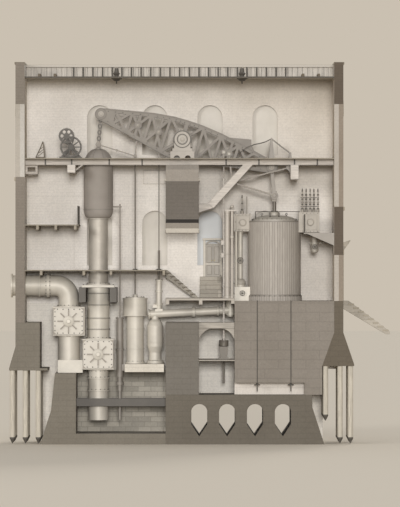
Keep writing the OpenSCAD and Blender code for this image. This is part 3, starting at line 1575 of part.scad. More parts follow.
module weight_case() {
  case_shell();
  cold_pump_rod();
}

module delivery_valve_chest() {
  delivery_chest();
  connecting_bend();
}

module delivery_bend() {
  bend_piece();
  delivery_pipe();
}

module pump_girders() {
  girder_pair();
  pit_girders();
}

module exhaust_valve_box() {
  exhaust_box();
  equilibrium_pipes();
}

module stay_frames() {
  stay_posts();
  radius_brackets();
}

module spring_beams() {
  beam_timbers();
  cross_beams();
  spring_braces();
  catch_frame();
}

module timber_floors() {
  beam_deck();
  gallery_deck();
  pump_deck();
}

module pump_barrel() {
  barrel_tube();
  pump_gland();
}

module ceiling() {
  ceiling_boards();
  roof_frame();
}

module valve_gear() {
  gear_columns();
  cataract();
}

module gudgeon_pedestals() {
  pedestal_pair();
  bearing_pair();
}

module suction_valve_chest() {
  suction_chest();
  suction_pipe();
}

module stairs() {
  inner_flight();
  outer_flight();
}

module valve_chests() {
  upper_chest();
  side_chest();
}

foundation_raft();
culvert_raft();
back_footing();
back_wall_lower();
back_wall_upper();
west_footing();
west_wall();
east_footing();
east_wall();
footing_piles();
cylinder_plinth();
lever_wall_base();
lever_wall_head();
roof_shell();
ceiling();
window_panes();
spring_beams();
timber_floors();
driving_floor();
cylinder_gallery();
stairs();
hand_rails();
gudgeon_pedestals();
stay_frames();
winch();
steam_cylinder();
cylinder_cover();
valve_chests();
exhaust_valve_box();
valve_gear();
eduction_pipe();
condenser();
air_pump();
feed_pump();
cold_water_pump();
pump_bed();
pump_barrel();
pump_girders();
suction_valve_chest();
delivery_valve_chest();
delivery_bend();
beam();
beam_pins();
piston_rod();
piston_link();
back_link();
parallel_bars();
radius_rods();
plunger();
weight_case();
pump_link();
pump_side_bars();
air_pump_link();
air_pump_rod();
feed_pump_link();
feed_pump_rod();
plug_link();
plug_rod();
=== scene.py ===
import math

import bmesh
import bpy
from mathutils import Matrix, Vector


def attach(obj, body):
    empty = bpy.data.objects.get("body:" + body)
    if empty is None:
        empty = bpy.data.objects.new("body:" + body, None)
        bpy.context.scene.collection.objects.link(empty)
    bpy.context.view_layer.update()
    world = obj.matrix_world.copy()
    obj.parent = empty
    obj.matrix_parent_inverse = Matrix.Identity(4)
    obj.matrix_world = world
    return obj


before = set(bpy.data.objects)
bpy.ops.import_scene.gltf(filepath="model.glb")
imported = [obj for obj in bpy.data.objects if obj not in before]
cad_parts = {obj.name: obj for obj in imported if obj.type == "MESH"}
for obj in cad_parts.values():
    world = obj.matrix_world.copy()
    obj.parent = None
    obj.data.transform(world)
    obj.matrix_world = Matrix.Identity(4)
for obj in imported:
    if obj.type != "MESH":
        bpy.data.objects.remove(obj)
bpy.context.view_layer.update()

# Sizes of the house, in metres, as the construction gives them. X runs from the pumps to the cylinder,
# Y from the open face to the long wall, and Z up from the foot of the raft.
OPEN_FACE_Y, WALL_Y, OUTER_Y = -2.03, 2.03, 3.03
WEST_OUT, WEST_IN, EAST_IN, EAST_OUT = -9.114, -8.614, 8.304, 8.804
LEVER_HALF = 0.907
DRIVING_FLOOR_Z, PUMP_FLOOR_Z, STOREY_Z = 7.982, 9.525, 13.6
CEILING_Z, ROOF_TOP_Z, WALL_TOP_Z = 20.036, 20.796, 20.868
WINDOW_W, END_WINDOW_W = 1.378, 1.27
WINDOW_XS = [-4.582 + 3.05 * number for number in range(4)]
LOW_SILL_Z, LOW_SPRING_Z = 9.785, 12.1
HIGH_SILL_Z, HIGH_SPRING_Z = 15.9, 17.941
STOREYS = (("lower", LOW_SILL_Z, LOW_SPRING_Z), ("upper", HIGH_SILL_Z, HIGH_SPRING_Z))
WEST_SILL_Z, EAST_SILL_Z, END_SPRING_Z = 14.62, 12.989, 17.959
ENTRANCE_HALF, ENTRANCE_FOOT_Z, ENTRANCE_HEAD_Z = 0.55, 7.833, 10.348
PILES = [(-7.864, 0.06), (-8.574, 0.06), (-9.284, 0.06), (9.194, 0.06), (8.624, 0.06), (7.83, 1.3)]
STRAP_XS = (-7.5, -6.06, -4.0, -2.2, 2.4, 4.2, 6.15, 7.4)

# Sizes of the engine and its pumps. An arm is the distance of a pin from the gudgeon along the beam.
GUDGEON_Z = 16.699
TILT = math.radians(17.28)
PUMP_ARM, STEAM_ARM, AIR_ARM, FEED_ARM = 4.68, 5.13, 2.56, 1.349
CYLINDER_X, CASING_R = 5.06, 1.452
MAIN_X, DELIVERY_X, JOINT_X, DELIVERY_Z = -4.62, -6.242, -7.38, 8.666
AIR_ROD_X, FEED_X, COLD_X, CONDENSER_X = -2.5955, -1.288, -3.434, -1.5
COLUMN_X, SLENDER_X = 2.466, 2.728
TOP_CHEST_X, LOW_CHEST_X = 2.83, 2.871
TOP_CHEST_TOP, STEAM_CHEST_TOP = 12.61, 12.702
CASE_RIM_ZS = (12.85, 15.205)
WINCH_Y, PINION_Y = -1.075, -1.185

EAST, WEST = (1.0, 0.0, 0.0), (-1.0, 0.0, 0.0)
BACK, FRONT = (0.0, 1.0, 0.0), (0.0, -1.0, 0.0)
UP, DOWN = (0.0, 0.0, 1.0), (0.0, 0.0, -1.0)


# Tools for materials.

def ink(red, green, blue):
    """A colour given as it shows on paper, from 0 to 255, turned into linear light."""
    def lift(value):
        value /= 255.0
        return value / 12.92 if value <= 0.04045 else ((value + 0.055) / 1.055) ** 2.4
    return (lift(red), lift(green), lift(blue), 1.0)


def toned(colour, share):
    """A colour made darker or paler by a share."""
    return tuple(min(1.0, part * share) for part in colour[:3]) + (1.0,)


def put(tree, kind, values=None, **settings):
    """Adds a node with its settings. Its sockets, by name or number, take values or other sockets."""
    node = tree.nodes.new(kind)
    for key, value in settings.items():
        setattr(node, key, value)
    for key, value in (values or {}).items():
        if isinstance(value, bpy.types.NodeSocket):
            tree.links.new(value, node.inputs[key])
        else:
            node.inputs[key].default_value = value
    return node


def maths(tree, operation, first, second=0.0, third=0.0):
    """One step of arithmetic on sockets or numbers."""
    return put(tree, "ShaderNodeMath", {0: first, 1: second, 2: third}, operation=operation).outputs[0]


def product(tree, first, second):
    return maths(tree, "MULTIPLY", first, second)


def between(tree, value, low, high):
    """1 where a value lies between two numbers, and 0 elsewhere."""
    return maths(tree, "COMPARE", value, (low + high) / 2.0, (high - low) / 2.0)


def range_of(tree, value, low, high, first=0.0, last=1.0):
    """Stretches what lies between low and high so that it runs from first to last."""
    return put(tree, "ShaderNodeMapRange", {0: value, 1: low, 2: high, 3: first, 4: last}).outputs[0]


def blend_colours(tree, share, first, second, mode="MIX"):
    """Mixes two colours by a share, which is a socket or a number."""
    mixed = put(tree, "ShaderNodeMix", {0: share, 6: first, 7: second}, data_type="RGBA", blend_type=mode)
    return mixed.outputs[2]


def object_place(tree):
    """The X, Y and Z of the piece's own coordinates."""
    place = put(tree, "ShaderNodeTexCoord")
    return put(tree, "ShaderNodeSeparateXYZ", {0: place.outputs["Object"]}).outputs


def drawn_noise(tree, stretch, values):
    """Noise on the piece's own coordinates, drawn out along its axes, for grain and machining lines."""
    place = put(tree, "ShaderNodeTexCoord")
    drawn = put(tree, "ShaderNodeMapping", {"Vector": place.outputs["Object"], "Scale": stretch})
    return put(tree, "ShaderNodeTexNoise", {"Vector": drawn.outputs[0], **values}).outputs[0]


def new_group(name, takes, gives):
    """A shader node group with named inputs and outputs, each a single value."""
    tree = bpy.data.node_groups.new(name, "ShaderNodeTree")
    for socket, start in takes.items():
        made = tree.interface.new_socket(name=socket, in_out="INPUT", socket_type="NodeSocketFloat")
        made.default_value = start
    for socket in gives:
        tree.interface.new_socket(name=socket, in_out="OUTPUT", socket_type="NodeSocketFloat")
    source = tree.nodes.new("NodeGroupInput") if takes else None
    sink = tree.nodes.new("NodeGroupOutput")
    return tree, source, sink


def facing_group():
    """Which way a surface of a fixed piece faces."""
    sides = (("Front", 1, -1.0, 0.7), ("West", 0, -1.0, 0.7), ("East", 0, 1.0, 0.7), ("Under", 2, -1.0, 0.5))
    tree, _, sink = new_group("facing", {}, [side[0] for side in sides])
    place = put(tree, "ShaderNodeTexCoord")
    parts = put(tree, "ShaderNodeSeparateXYZ", {0: place.outputs["Normal"]})
    for side, axis, sign, least in sides:
        towards = product(tree, parts.outputs[axis], sign)
        tree.links.new(maths(tree, "GREATER_THAN", towards, least), sink.inputs[side])
    return tree


def courses_group():
    """Courses of stone or brick, laid true on a wall whichever way it faces."""
    tree, source, sink = new_group("courses", {"Length": 0.23, "Height": 0.08, "Joint": 0.01},
                                   ("Joint", "Tone", "Relief"))
    place = put(tree, "ShaderNodeTexCoord")
    where = object_place(tree)
    faces = put(tree, "ShaderNodeSeparateXYZ", {0: place.outputs["Normal"]})
    side_on = maths(tree, "GREATER_THAN", maths(tree, "ABSOLUTE", faces.outputs[0]), 0.7)
    level = maths(tree, "GREATER_THAN", maths(tree, "ABSOLUTE", faces.outputs[2]), 0.7)
    along = put(tree, "ShaderNodeMix", {0: side_on, 2: where[0], 3: where[1]})
    up = put(tree, "ShaderNodeMix", {0: level, 2: where[2], 3: where[1]})
    flat = put(tree, "ShaderNodeCombineXYZ", {0: along.outputs[0], 1: up.outputs[0]})
    brick = put(tree, "ShaderNodeTexBrick", {
        "Vector": flat.outputs[0], "Color1": (0.0, 0.0, 0.0, 1.0), "Color2": (1.0, 1.0, 1.0, 1.0),
        "Mortar": (0.5, 0.5, 0.5, 1.0), "Scale": 1.0, "Mortar Smooth": 0.3, "Bias": 0.0,
        "Mortar Size": source.outputs["Joint"], "Brick Width": source.outputs["Length"],
        "Row Height": source.outputs["Height"]})
    tone = put(tree, "ShaderNodeSeparateColor", {0: brick.outputs["Color"]})
    rough = put(tree, "ShaderNodeTexNoise", {"Vector": place.outputs["Object"], "Scale": 9.0, "Detail": 4.0})
    relief = maths(tree, "SUBTRACT", product(tree, rough.outputs[0], 0.25), brick.outputs["Fac"])
    tree.links.new(brick.outputs["Fac"], sink.inputs["Joint"])
    tree.links.new(tone.outputs[0], sink.inputs["Tone"])
    tree.links.new(relief, sink.inputs["Relief"])
    return tree


def weather_group():
    """Slow stains and fine speckle, for any surface."""
    tree, source, sink = new_group("weather", {"Broad": 0.4, "Fine": 14.0}, ("Stain", "Speck"))
    place = put(tree, "ShaderNodeTexCoord").outputs["Object"]
    broad = put(tree, "ShaderNodeTexNoise", {"Vector": place, "Scale": source.outputs["Broad"],
                                            "Detail": 5.0, "Roughness": 0.6})
    fine = put(tree, "ShaderNodeTexNoise", {"Vector": place, "Scale": source.outputs["Fine"],
                                           "Detail": 3.0, "Roughness": 0.7})
    tree.links.new(range_of(tree, broad.outputs[0], 0.35, 0.68), sink.inputs["Stain"])
    tree.links.new(range_of(tree, fine.outputs[0], 0.3, 0.7), sink.inputs["Speck"])
    return tree


def arris_group():
    """A mask that is high along the edges of a piece and in its creases."""
    tree, source, sink = new_group("arris", {"Width": 0.03}, ("Edge",))
    soft = put(tree, "ShaderNodeBevel", {"Radius": source.outputs["Width"]}, samples=4)
    sharp = put(tree, "ShaderNodeNewGeometry")
    meet = put(tree, "ShaderNodeVectorMath", {0: soft.outputs[0], 1: sharp.outputs["Normal"]},
               operation="DOT_PRODUCT")
    tree.links.new(range_of(tree, meet.outputs["Value"], 0.995, 0.86), sink.inputs["Edge"])
    return tree


FACING = facing_group()
COURSES = courses_group()
WEATHER = weather_group()
ARRIS = arris_group()


def group(tree, made, values=None):
    """Places a node group in a material, with its own values."""
    return put(tree, "ShaderNodeGroup", values, node_tree=made)


def edge_mask(tree, width):
    """Where a piece has its edges, to a width."""
    return group(tree, ARRIS, {"Width": width}).outputs["Edge"]


def side_mask(tree, side):
    """Where a fixed piece faces one way, which is Front, West, East or Under."""
    return group(tree, FACING).outputs[side]


def new_material(name):
    made = bpy.data.materials.new(name)
    made.use_nodes = True
    tree = made.node_tree
    return made, tree, tree.nodes["Principled BSDF"]


def lay_on(tree, shader, skin, height, strength, distance):
    """Gives a material its colour and its fine relief."""
    tree.links.new(skin, shader.inputs["Base Color"])
    bump = put(tree, "ShaderNodeBump", {"Height": height, "Strength": strength, "Distance": distance})
    tree.links.new(bump.outputs[0], shader.inputs["Normal"])


def limewash(tree, where, joints, dark, inside, painted_shade):
    """Limewash through which the joints show a little, with a painted shade towards the top and the east if
    asked.
    """
    lime = inside
    if painted_shade is not None:
        # Painted shade: the limewash darkens from west to east and towards the top.
        east = range_of(tree, where[0], WEST_IN, EAST_IN)
        high = range_of(tree, where[2], 12.0, 19.5, 0.3, 1.0)
        lime = blend_colours(tree, product(tree, east, high), inside, painted_shade)
    return blend_colours(tree, product(tree, joints, 0.10), lime, dark)


def left_bare(tree, where, bare):
    """Where limewash was left off: from one X to another, below a height."""
    low_x, high_x, top_z = bare
    below = maths(tree, "LESS_THAN", where[2], top_z)
    return product(tree, between(tree, where[0], low_x, high_x), below)


def cut_wash(tree, where, joints, cut, through, inside, reveal_at, frame_tint):
    """The flat wash of a cut wall. At the openings it shows the reveal, in painted shade as the inside
    limewash darkened, and outside that the frame.
    """
    wash = blend_colours(tree, product(tree, joints, 0.45), cut, toned(cut, 0.8))
    for low_z, high_z in through:
        outer = maths(tree, "GREATER_THAN", maths(tree, "ABSOLUTE", where[0]), reveal_at)
        # Painted shade: the reveal is the inside limewash darkened.
        reveal = blend_colours(tree, outer, toned(inside, 0.68), frame_tint)
        wash = blend_colours(tree, between(tree, where[2], low_z, high_z), wash, reveal)
    return wash


def masonry(name, colour, cut=None, inside=None, inner_side="Front", length=0.46, height=0.15, joint=0.012,
            joint_shade=0.72, variety=0.16, relief=0.35, through=(), bands=(), bare=None, painted_shade=None,
            reveal_at=0.0, frame_tint=None):
    """Coursed masonry, with a cut face washed flat and an inner face limewashed, each by the way it faces."""
    made, tree, shader = new_material(name)
    laid = group(tree, COURSES, {"Length": length, "Height": height, "Joint": joint})
    joints = laid.outputs["Joint"]
    where = object_place(tree)
    dark = toned(colour, joint_shade)
    pale, deep = toned(colour, 1.0 + variety), toned(colour, 1.0 - variety)
    skin = blend_colours(tree, laid.outputs["Tone"], deep, pale)
    skin = blend_colours(tree, joints, skin, dark)
    if inside is not None:
        washed = side_mask(tree, inner_side)
        if bare is not None:
            washed = product(tree, washed, maths(tree, "SUBTRACT", 1.0, left_bare(tree, where, bare)))
        skin = blend_colours(tree, washed, skin, limewash(tree, where, joints, dark, inside, painted_shade))
    if cut is not None:
        at_cut = maths(tree, "LESS_THAN", where[1], OPEN_FACE_Y + 0.01)
        at_cut = product(tree, at_cut, side_mask(tree, "Front"))
        wash = cut_wash(tree, where, joints, cut, through, inside, reveal_at, frame_tint)
        skin = blend_colours(tree, at_cut, skin, wash)
    for low_z, high_z, tint in bands:
        skin = blend_colours(tree, between(tree, where[2], low_z, high_z), skin, tint)
    worn = group(tree, WEATHER, {"Broad": 0.35, "Fine": 11.0})
    stained = toned((0.9, 0.88, 0.84), 0.8)
    skin = blend_colours(tree, product(tree, worn.outputs["Stain"], 0.45), skin, stained, "MULTIPLY")
    grit = blend_colours(tree, worn.outputs["Speck"], (0.9, 0.9, 0.9, 1.0), (1.06, 1.06, 1.06, 1.0))
    skin = blend_colours(tree, 1.0, skin, grit, "MULTIPLY")
    # Darker along the edges and in the creases.
    edge_darkening = product(tree, edge_mask(tree, 0.035), 0.35)
    skin = blend_colours(tree, edge_darkening, skin, (0.25, 0.23, 0.2, 1.0), "MULTIPLY")
    lay_on(tree, shader, skin, laid.outputs["Relief"], relief, 0.02)
    shader.inputs["Roughness"].default_value = 0.9
    return made


def painted_iron(name, colour, wear=0.35, metal=0.15, rough=0.5, edge_dark=0.55, scale=1.2, under=None,
                 front=None, layers=(), low_part=None):
    """Cast iron under oil paint: faint brush marks, broad stains, and darkening along its edges and in its
    creases.
    """
    made, tree, shader = new_material(name)
    worn = group(tree, WEATHER, {"Broad": scale, "Fine": 40.0})
    speck = worn.outputs["Speck"]
    edge = edge_mask(tree, 0.022)
    skin = blend_colours(tree, speck, colour, toned(colour, 1.12))
    skin = blend_colours(tree, product(tree, worn.outputs["Stain"], wear), skin, toned(colour, 0.62))
    skin = blend_colours(tree, product(tree, edge, edge_dark), skin, toned(colour, 0.3))
    if under is not None:
        skin = blend_colours(tree, side_mask(tree, "Under"), skin, under)
    if front is not None:
        skin = blend_colours(tree, side_mask(tree, "Front"), skin, front)
    if low_part is not None:
        top_z, tint = low_part
        skin = blend_colours(tree, maths(tree, "LESS_THAN", object_place(tree)[2], top_z), skin, tint)
    for near_y, far_y, tint in layers:
        shown = product(tree, between(tree, object_place(tree)[1], near_y, far_y), side_mask(tree, "Front"))
        shown = product(tree, shown, maths(tree, "SUBTRACT", 1.0, edge))
        skin = blend_colours(tree, shown, skin, tint)
    lay_on(tree, shader, skin, speck, 0.12, 0.004)
    gloss = range_of(tree, speck, 0.0, 1.0, rough - 0.08, rough + 0.12)
    tree.links.new(gloss, shader.inputs["Roughness"])
    shader.inputs["Metallic"].default_value = metal
    return made


def bright_work(name, colour, rough):
    """Turned and forged iron kept bright, with fine machining lines and a trace of oil."""
    made, tree, shader = new_material(name)
    lines = drawn_noise(tree, (6.0, 6.0, 60.0), {"Scale": 2.0, "Detail": 3.0})
    worn = group(tree, WEATHER, {"Broad": 1.5, "Fine": 30.0})
    skin = blend_colours(tree, product(tree, worn.outputs["Stain"], 0.4), colour, toned(colour, 0.6))
    skin = blend_colours(tree, product(tree, edge_mask(tree, 0.015), 0.6), skin, toned(colour, 0.28))
    lay_on(tree, shader, skin, lines, 0.1, 0.003)
    gloss = range_of(tree, lines, 0.3, 0.7, rough - 0.08, rough + 0.15)
    tree.links.new(gloss, shader.inputs["Roughness"])
    shader.inputs["Metallic"].default_value = 0.45
    return made


def sawn_timber(name, colour, board=0.0, along=(0.35, 7.0, 7.0), dark_ends=False):
    """Sawn timber with its grain along the given direction, and joints between boards where it is boarded."""
    made, tree, shader = new_material(name)
    grain = drawn_noise(tree, along, {"Scale": 3.0, "Detail": 6.0, "Roughness": 0.65, "Distortion": 0.6})
    worn = group(tree, WEATHER, {"Broad": 0.8, "Fine": 22.0})
    dark = toned(colour, 0.62)
    skin = blend_colours(tree, range_of(tree, grain, 0.35, 0.65), dark, colour)
    skin = blend_colours(tree, product(tree, worn.outputs["Stain"], 0.35), skin, dark)
    height = grain
    if board:
        step = maths(tree, "FRACT", maths(tree, "DIVIDE", object_place(tree)[1], board))
        gap = maths(tree, "LESS_THAN", step, 0.06)
        skin = blend_colours(tree, gap, skin, toned(colour, 0.25))
        height = maths(tree, "SUBTRACT", grain, gap)
    if dark_ends:
        skin = blend_colours(tree, side_mask(tree, "Front"), skin, toned(colour, 0.14))
    skin = blend_colours(tree, product(tree, edge_mask(tree, 0.05), 0.75), skin, toned(colour, 0.25))
    lay_on(tree, shader, skin, height, 0.3, 0.01)
    shader.inputs["Roughness"].default_value = 0.78
    return made


def lagging(name, colour):
    """Narrow staves of varnished wood round the steam cylinder."""
    count = 64.0
    made, tree, shader = new_material(name)
    where = object_place(tree)
    turn = maths(tree, "ARCTAN2", where[1], maths(tree, "SUBTRACT", where[0], CYLINDER_X))
    stave = product(tree, turn, count / (2.0 * math.pi))
    step = maths(tree, "FRACT", maths(tree, "ADD", stave, count))
    gap = maths(tree, "LESS_THAN", step, 0.09)
    number = put(tree, "ShaderNodeTexWhiteNoise", {"W": maths(tree, "FLOOR", stave)}, noise_dimensions="1D")
    grain = drawn_noise(tree, (14.0, 14.0, 0.9), {"Scale": 2.0, "Detail": 6.0, "Distortion": 0.4})
    skin = blend_colours(tree, number.outputs["Value"], colour, toned(colour, 1.18))
    skin = blend_colours(tree, range_of(tree, grain, 0.4, 0.7, 0.0, 0.6), skin, toned(colour, 0.74))
    skin = blend_colours(tree, gap, skin, toned(colour, 0.3))
    skin = blend_colours(tree, product(tree, edge_mask(tree, 0.03), 0.5), skin, toned(colour, 0.3))
    lay_on(tree, shader, skin, maths(tree, "SUBTRACT", grain, product(tree, gap, 2.0)), 0.35, 0.008)
    shader.inputs["Roughness"].default_value = 0.62
    shader.inputs["Specular IOR Level"].default_value = 0.3
    return made


def crown_glass(name):
    """Old dusty window glass; the clean pane by the valve gear is the bluest."""
    made, tree, shader = new_material(name)
    worn = group(tree, WEATHER, {"Broad": 0.9, "Fine": 9.0})
    where = object_place(tree)
    near = maths(tree, "COMPARE", where[0], WINDOW_XS[2], 0.8)
    clean = product(tree, near, maths(tree, "LESS_THAN", where[2], STOREY_Z))
    skin = blend_colours(tree, worn.outputs["Stain"], ink(226, 219, 208), ink(216, 209, 197))
    skin = blend_colours(tree, clean, skin, ink(224, 225, 224))
    tree.links.new(skin, shader.inputs["Base Color"])
    shader.inputs["Roughness"].default_value = 0.55
    shader.inputs["Specular IOR Level"].default_value = 0.12
    shader.inputs["Alpha"].default_value = 0.85
    return made


# Finishes. The tones are those of a sepia print, and the cut faces have the print's flat washes.

rubble = {"length": 0.9, "height": 0.3, "joint": 0.02}
raft_stone = masonry("raft_masonry", ink(136, 129, 118), cut=ink(120, 113, 101), **rubble)
culvert_stone = masonry("culvert_masonry", ink(130, 123, 112), cut=ink(105, 98, 87), **rubble)
east_footing_stone = masonry("east_footing_masonry", ink(130, 122, 110), cut=ink(98, 89, 76), **rubble)
base_stone = masonry("lever_base_masonry", ink(126, 119, 108), cut=ink(114, 108, 99), **rubble)
footing_stone = masonry("footing_masonry", ink(178, 171, 158), cut=ink(126, 118, 104),
                        inside=ink(240, 233, 222), bare=(-5.9, -0.9, 4.0), length=0.7, height=0.28,
                        joint=0.018)
end_brick = masonry("end_wall_brick", ink(168, 152, 126), cut=ink(128, 119, 108), inside=ink(222, 215, 204),
                    inner_side="East", through=[(WEST_SILL_Z, END_SPRING_Z + END_WINDOW_W / 2.0)],
                    reveal_at=(WEST_IN + WEST_OUT) / -2.0, frame_tint=ink(172, 164, 152))
east_brick = masonry("east_wall_brick", ink(168, 152, 126), cut=ink(94, 83, 71), inside=ink(210, 200, 187),
                     inner_side="West", through=[(EAST_SILL_Z, END_SPRING_Z + END_WINDOW_W / 2.0),
                                                 (ENTRANCE_FOOT_Z, ENTRANCE_HEAD_Z)],
                     reveal_at=(EAST_IN + EAST_OUT) / 2.0, frame_tint=ink(140, 128, 114))
# Inside the long wall, a painted shade darkens the limewash from west to east and towards the top.
long_brick = masonry("long_wall_brick", ink(170, 154, 128), inside=ink(243, 236, 227),
                     painted_shade=ink(200, 190, 176))
# On the lever wall head the band at the cap is the paler capstone. The bands from 12.3 m down are painted
# shade under the arch: a black painted shadow at the crown, then a painted shade that fades to pale towards
# the springers.
lever_brick = masonry("lever_wall_brick", ink(112, 105, 97), cut=ink(108, 101, 93), length=0.6, height=0.2,
                      joint=0.014, bands=[(14.38, 15.3, ink(152, 144, 134)), (12.1, 12.3, ink(44, 40, 36)),
                                          (11.8, 12.1, ink(140, 132, 121)), (11.5, 11.8, ink(186, 178, 165))])
plinth_stone = masonry("plinth_ashlar", ink(150, 142, 131), cut=ink(132, 124, 114), inside=ink(222, 213, 202),
                       length=1.5, height=0.515, joint=0.028, joint_shade=0.55, variety=0.08)
bed_stone = masonry("bed_stone", ink(196, 188, 174), cut=ink(206, 198, 184), length=1.4, height=0.6,
                    joint=0.02)
step_stone = masonry("step_stone", ink(172, 164, 151), cut=ink(150, 141, 126), length=1.3, height=0.4,
                     joint=0.01)
pale_iron = painted_iron("pale_painted_iron", ink(196, 189, 176))
mid_iron = painted_iron("mid_painted_iron", ink(134, 127, 118))
chest_iron = painted_iron("chest_iron", ink(156, 148, 136))
case_iron = painted_iron("case_iron", ink(142, 134, 125), wear=0.25, metal=0.0, rough=0.72)
dark_iron = painted_iron("dark_iron", ink(84, 79, 72), rough=0.55)
beam_iron = painted_iron("beam_iron", ink(126, 119, 110), rough=0.55)
cover_iron = painted_iron("cover_iron", ink(172, 165, 153), rough=0.5, metal=0.1)
rod_iron = bright_work("rod_iron", ink(168, 161, 150), rough=0.42)
forged_iron = bright_work("forged_iron", ink(112, 105, 96), rough=0.45)
pedestal_iron = painted_iron("pedestal_iron", ink(158, 150, 139), edge_dark=0.75)
plunger_iron = bright_work("plunger_iron", ink(184, 177, 166), rough=0.55)
frame_timber = sawn_timber("frame_timber", ink(212, 203, 192))
floor_timber = sawn_timber("floor_timber", ink(160, 150, 133), board=0.2)
cellar_timber = sawn_timber("cellar_timber", ink(190, 181, 168), board=0.2)
ceiling_timber = sawn_timber("ceiling_timber", ink(188, 178, 162), board=0.25, dark_ends=True)
lime_boards = sawn_timber("lime_boards", ink(206, 198, 186), along=(7.0, 7.0, 0.35))
pile_timber = sawn_timber("pile_timber", ink(204, 195, 178), along=(6.0, 6.0, 0.4))
roof_lead = painted_iron("roof_lead", ink(120, 114, 106), rough=0.6, metal=0.05, scale=0.5,
                         under=ink(228, 220, 206), front=ink(182, 174, 162))
# The door's layers by depth: the chest's face mid grey, the door plate pale, and the ribs darker, a painted
# shade standing for the dark lines of their shadows.
door_iron = painted_iron("door_iron", ink(196, 189, 176), edge_dark=0.8,
                         layers=[(-0.73, -0.68, ink(146, 138, 126)), (-0.78, -0.74, ink(188, 181, 169)),
                                 (-0.88, -0.84, ink(138, 130, 118))])
gear_iron = painted_iron("gear_iron", ink(176, 168, 157), edge_dark=0.8, low_part=(7.0, ink(126, 118, 107)))
stave_wood = lagging("stave_wood", ink(163, 155, 145))
window_glass = crown_glass("window_glass")
sash_paint = painted_iron("sash_paint", ink(198, 190, 176), wear=0.25, metal=0.0, rough=0.55, edge_dark=0.35)
door_paint = painted_iron("door_paint", ink(158, 150, 138), wear=0.3, metal=0.0, rough=0.5)
trim_stone = masonry("trim_stone", ink(184, 174, 156), cut=ink(124, 115, 102), length=9.0, height=9.0,
                     joint=0.0, relief=0.2)
brass = bright_work("brass", ink(176, 158, 116), rough=0.3)
dark_timber = sawn_timber("dark_timber", ink(118, 106, 88))

FINISHES = {
    "foundation_raft": raft_stone, "culvert_raft": culvert_stone, "back_footing": footing_stone,
    "west_footing": raft_stone, "east_footing": east_footing_stone, "back_wall_lower": long_brick,
    "back_wall_upper": long_brick, "west_wall": end_brick, "east_wall": east_brick,
    "lever_wall_base": base_stone, "lever_wall_head": lever_brick, "cylinder_plinth": plinth_stone,
    "pump_bed": bed_stone, "stairs": step_stone, "footing_piles": pile_timber, "ceiling": ceiling_timber,
    "spring_beams": frame_timber, "timber_floors": floor_timber, "driving_floor": cellar_timber,
    "plug_rod": frame_timber, "roof_shell": roof_lead, "steam_cylinder": stave_wood,
    "window_panes": window_glass, "gudgeon_pedestals": pedestal_iron, "stay_frames": mid_iron,
    "winch": dark_iron, "valve_chests": chest_iron, "exhaust_valve_box": pale_iron, "condenser": pale_iron,
    "air_pump": pale_iron, "feed_pump": pale_iron, "cold_water_pump": mid_iron, "pump_barrel": pale_iron,
    "pump_girders": dark_iron, "suction_valve_chest": door_iron, "delivery_valve_chest": door_iron,
    "delivery_bend": pale_iron, "eduction_pipe": pale_iron, "cylinder_cover": cover_iron,
    "cylinder_gallery": mid_iron, "hand_rails": dark_iron, "weight_case": case_iron, "beam": beam_iron,
    "beam_pins": cover_iron, "piston_rod": forged_iron, "piston_link": mid_iron, "back_link": forged_iron,
    "parallel_bars": forged_iron, "radius_rods": forged_iron, "plunger": plunger_iron,
    "pump_link": forged_iron, "pump_side_bars": forged_iron, "air_pump_link": forged_iron,
    "air_pump_rod": forged_iron, "feed_pump_link": forged_iron, "feed_pump_rod": forged_iron,
    "plug_link": forged_iron, "valve_gear": gear_iron,
}
for node_name, finish in FINISHES.items():
    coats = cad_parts[node_name].data.materials
    coats.clear()
    coats.append(finish)


# Tools for modelling. A piece starts as a primitive at its size and place, and is shaped in edit mode.

def clear_selection():
    active = bpy.context.view_layer.objects.active
    if active is not None and active.mode == "EDIT":
        bpy.ops.object.mode_set(mode="OBJECT")
    bpy.ops.object.select_all(action="DESELECT")


def take(piece):
    """Makes a piece the only one selected."""
    clear_selection()
    piece.select_set(True)
    bpy.context.view_layer.objects.active = piece


def settle(piece):
    """Leaves edit mode and puts the piece's place into its mesh."""
    take(piece)
    bpy.ops.object.transform_apply(location=True, rotation=True, scale=True)
    return piece


def edit(piece):
    take(piece)
    bpy.ops.object.mode_set(mode="EDIT")
    bpy.ops.mesh.select_all(action="SELECT")


def face_out():
    """Turns all the faces of the piece in edit mode outwards."""
    bpy.ops.mesh.select_all(action="SELECT")
    bpy.ops.mesh.normals_make_consistent(inside=False)


def pick_faces(piece, wanted):
    """Selects, in edit mode, the faces for which wanted(face) is true."""
    bpy.ops.mesh.select_all(action="DESELECT")
    mesh = bmesh.from_edit_mesh(piece.data)
    for face in mesh.faces:
        if wanted(face):
            face.select_set(True)
    bmesh.update_edit_mesh(piece.data)


def pick_edges(piece, wanted):
    """Selects, in edit mode, the edges for which wanted(edge) is true."""
    bpy.ops.mesh.select_all(action="DESELECT")
    mesh = bmesh.from_edit_mesh(piece.data)
    for edge in mesh.edges:
        if wanted(edge):
            edge.select_set(True)
    bmesh.update_edit_mesh(piece.data)


def at(x, y, z):
    """A place that is only moved, not turned."""
    return Matrix.Translation((x, y, z))


def facing(place, along=UP):
    """A place whose own Z axis points along a direction."""
    return Matrix.Translation(place) @ Vector(along).to_track_quat("Z", "Y").to_matrix().to_4x4()


def move(piece, place):
    """Sets a piece at a place."""
    piece.matrix_world = place
    return settle(piece)


def eased(piece, ease):
    """Eases all the edges of a piece."""
    edit(piece)
    bpy.ops.mesh.bevel(offset=ease, segments=1, affect="EDGES")
    return settle(piece)


def block(low, high, ease):
    """A squared block between two corners, with its edges eased."""
    clear_selection()
    middle = [(a + b) / 2.0 for a, b in zip(low, high)]
    size = [b - a for a, b in zip(low, high)]
    bpy.ops.mesh.primitive_cube_add(size=1.0, location=middle, scale=size)
    return eased(settle(bpy.context.object), ease)


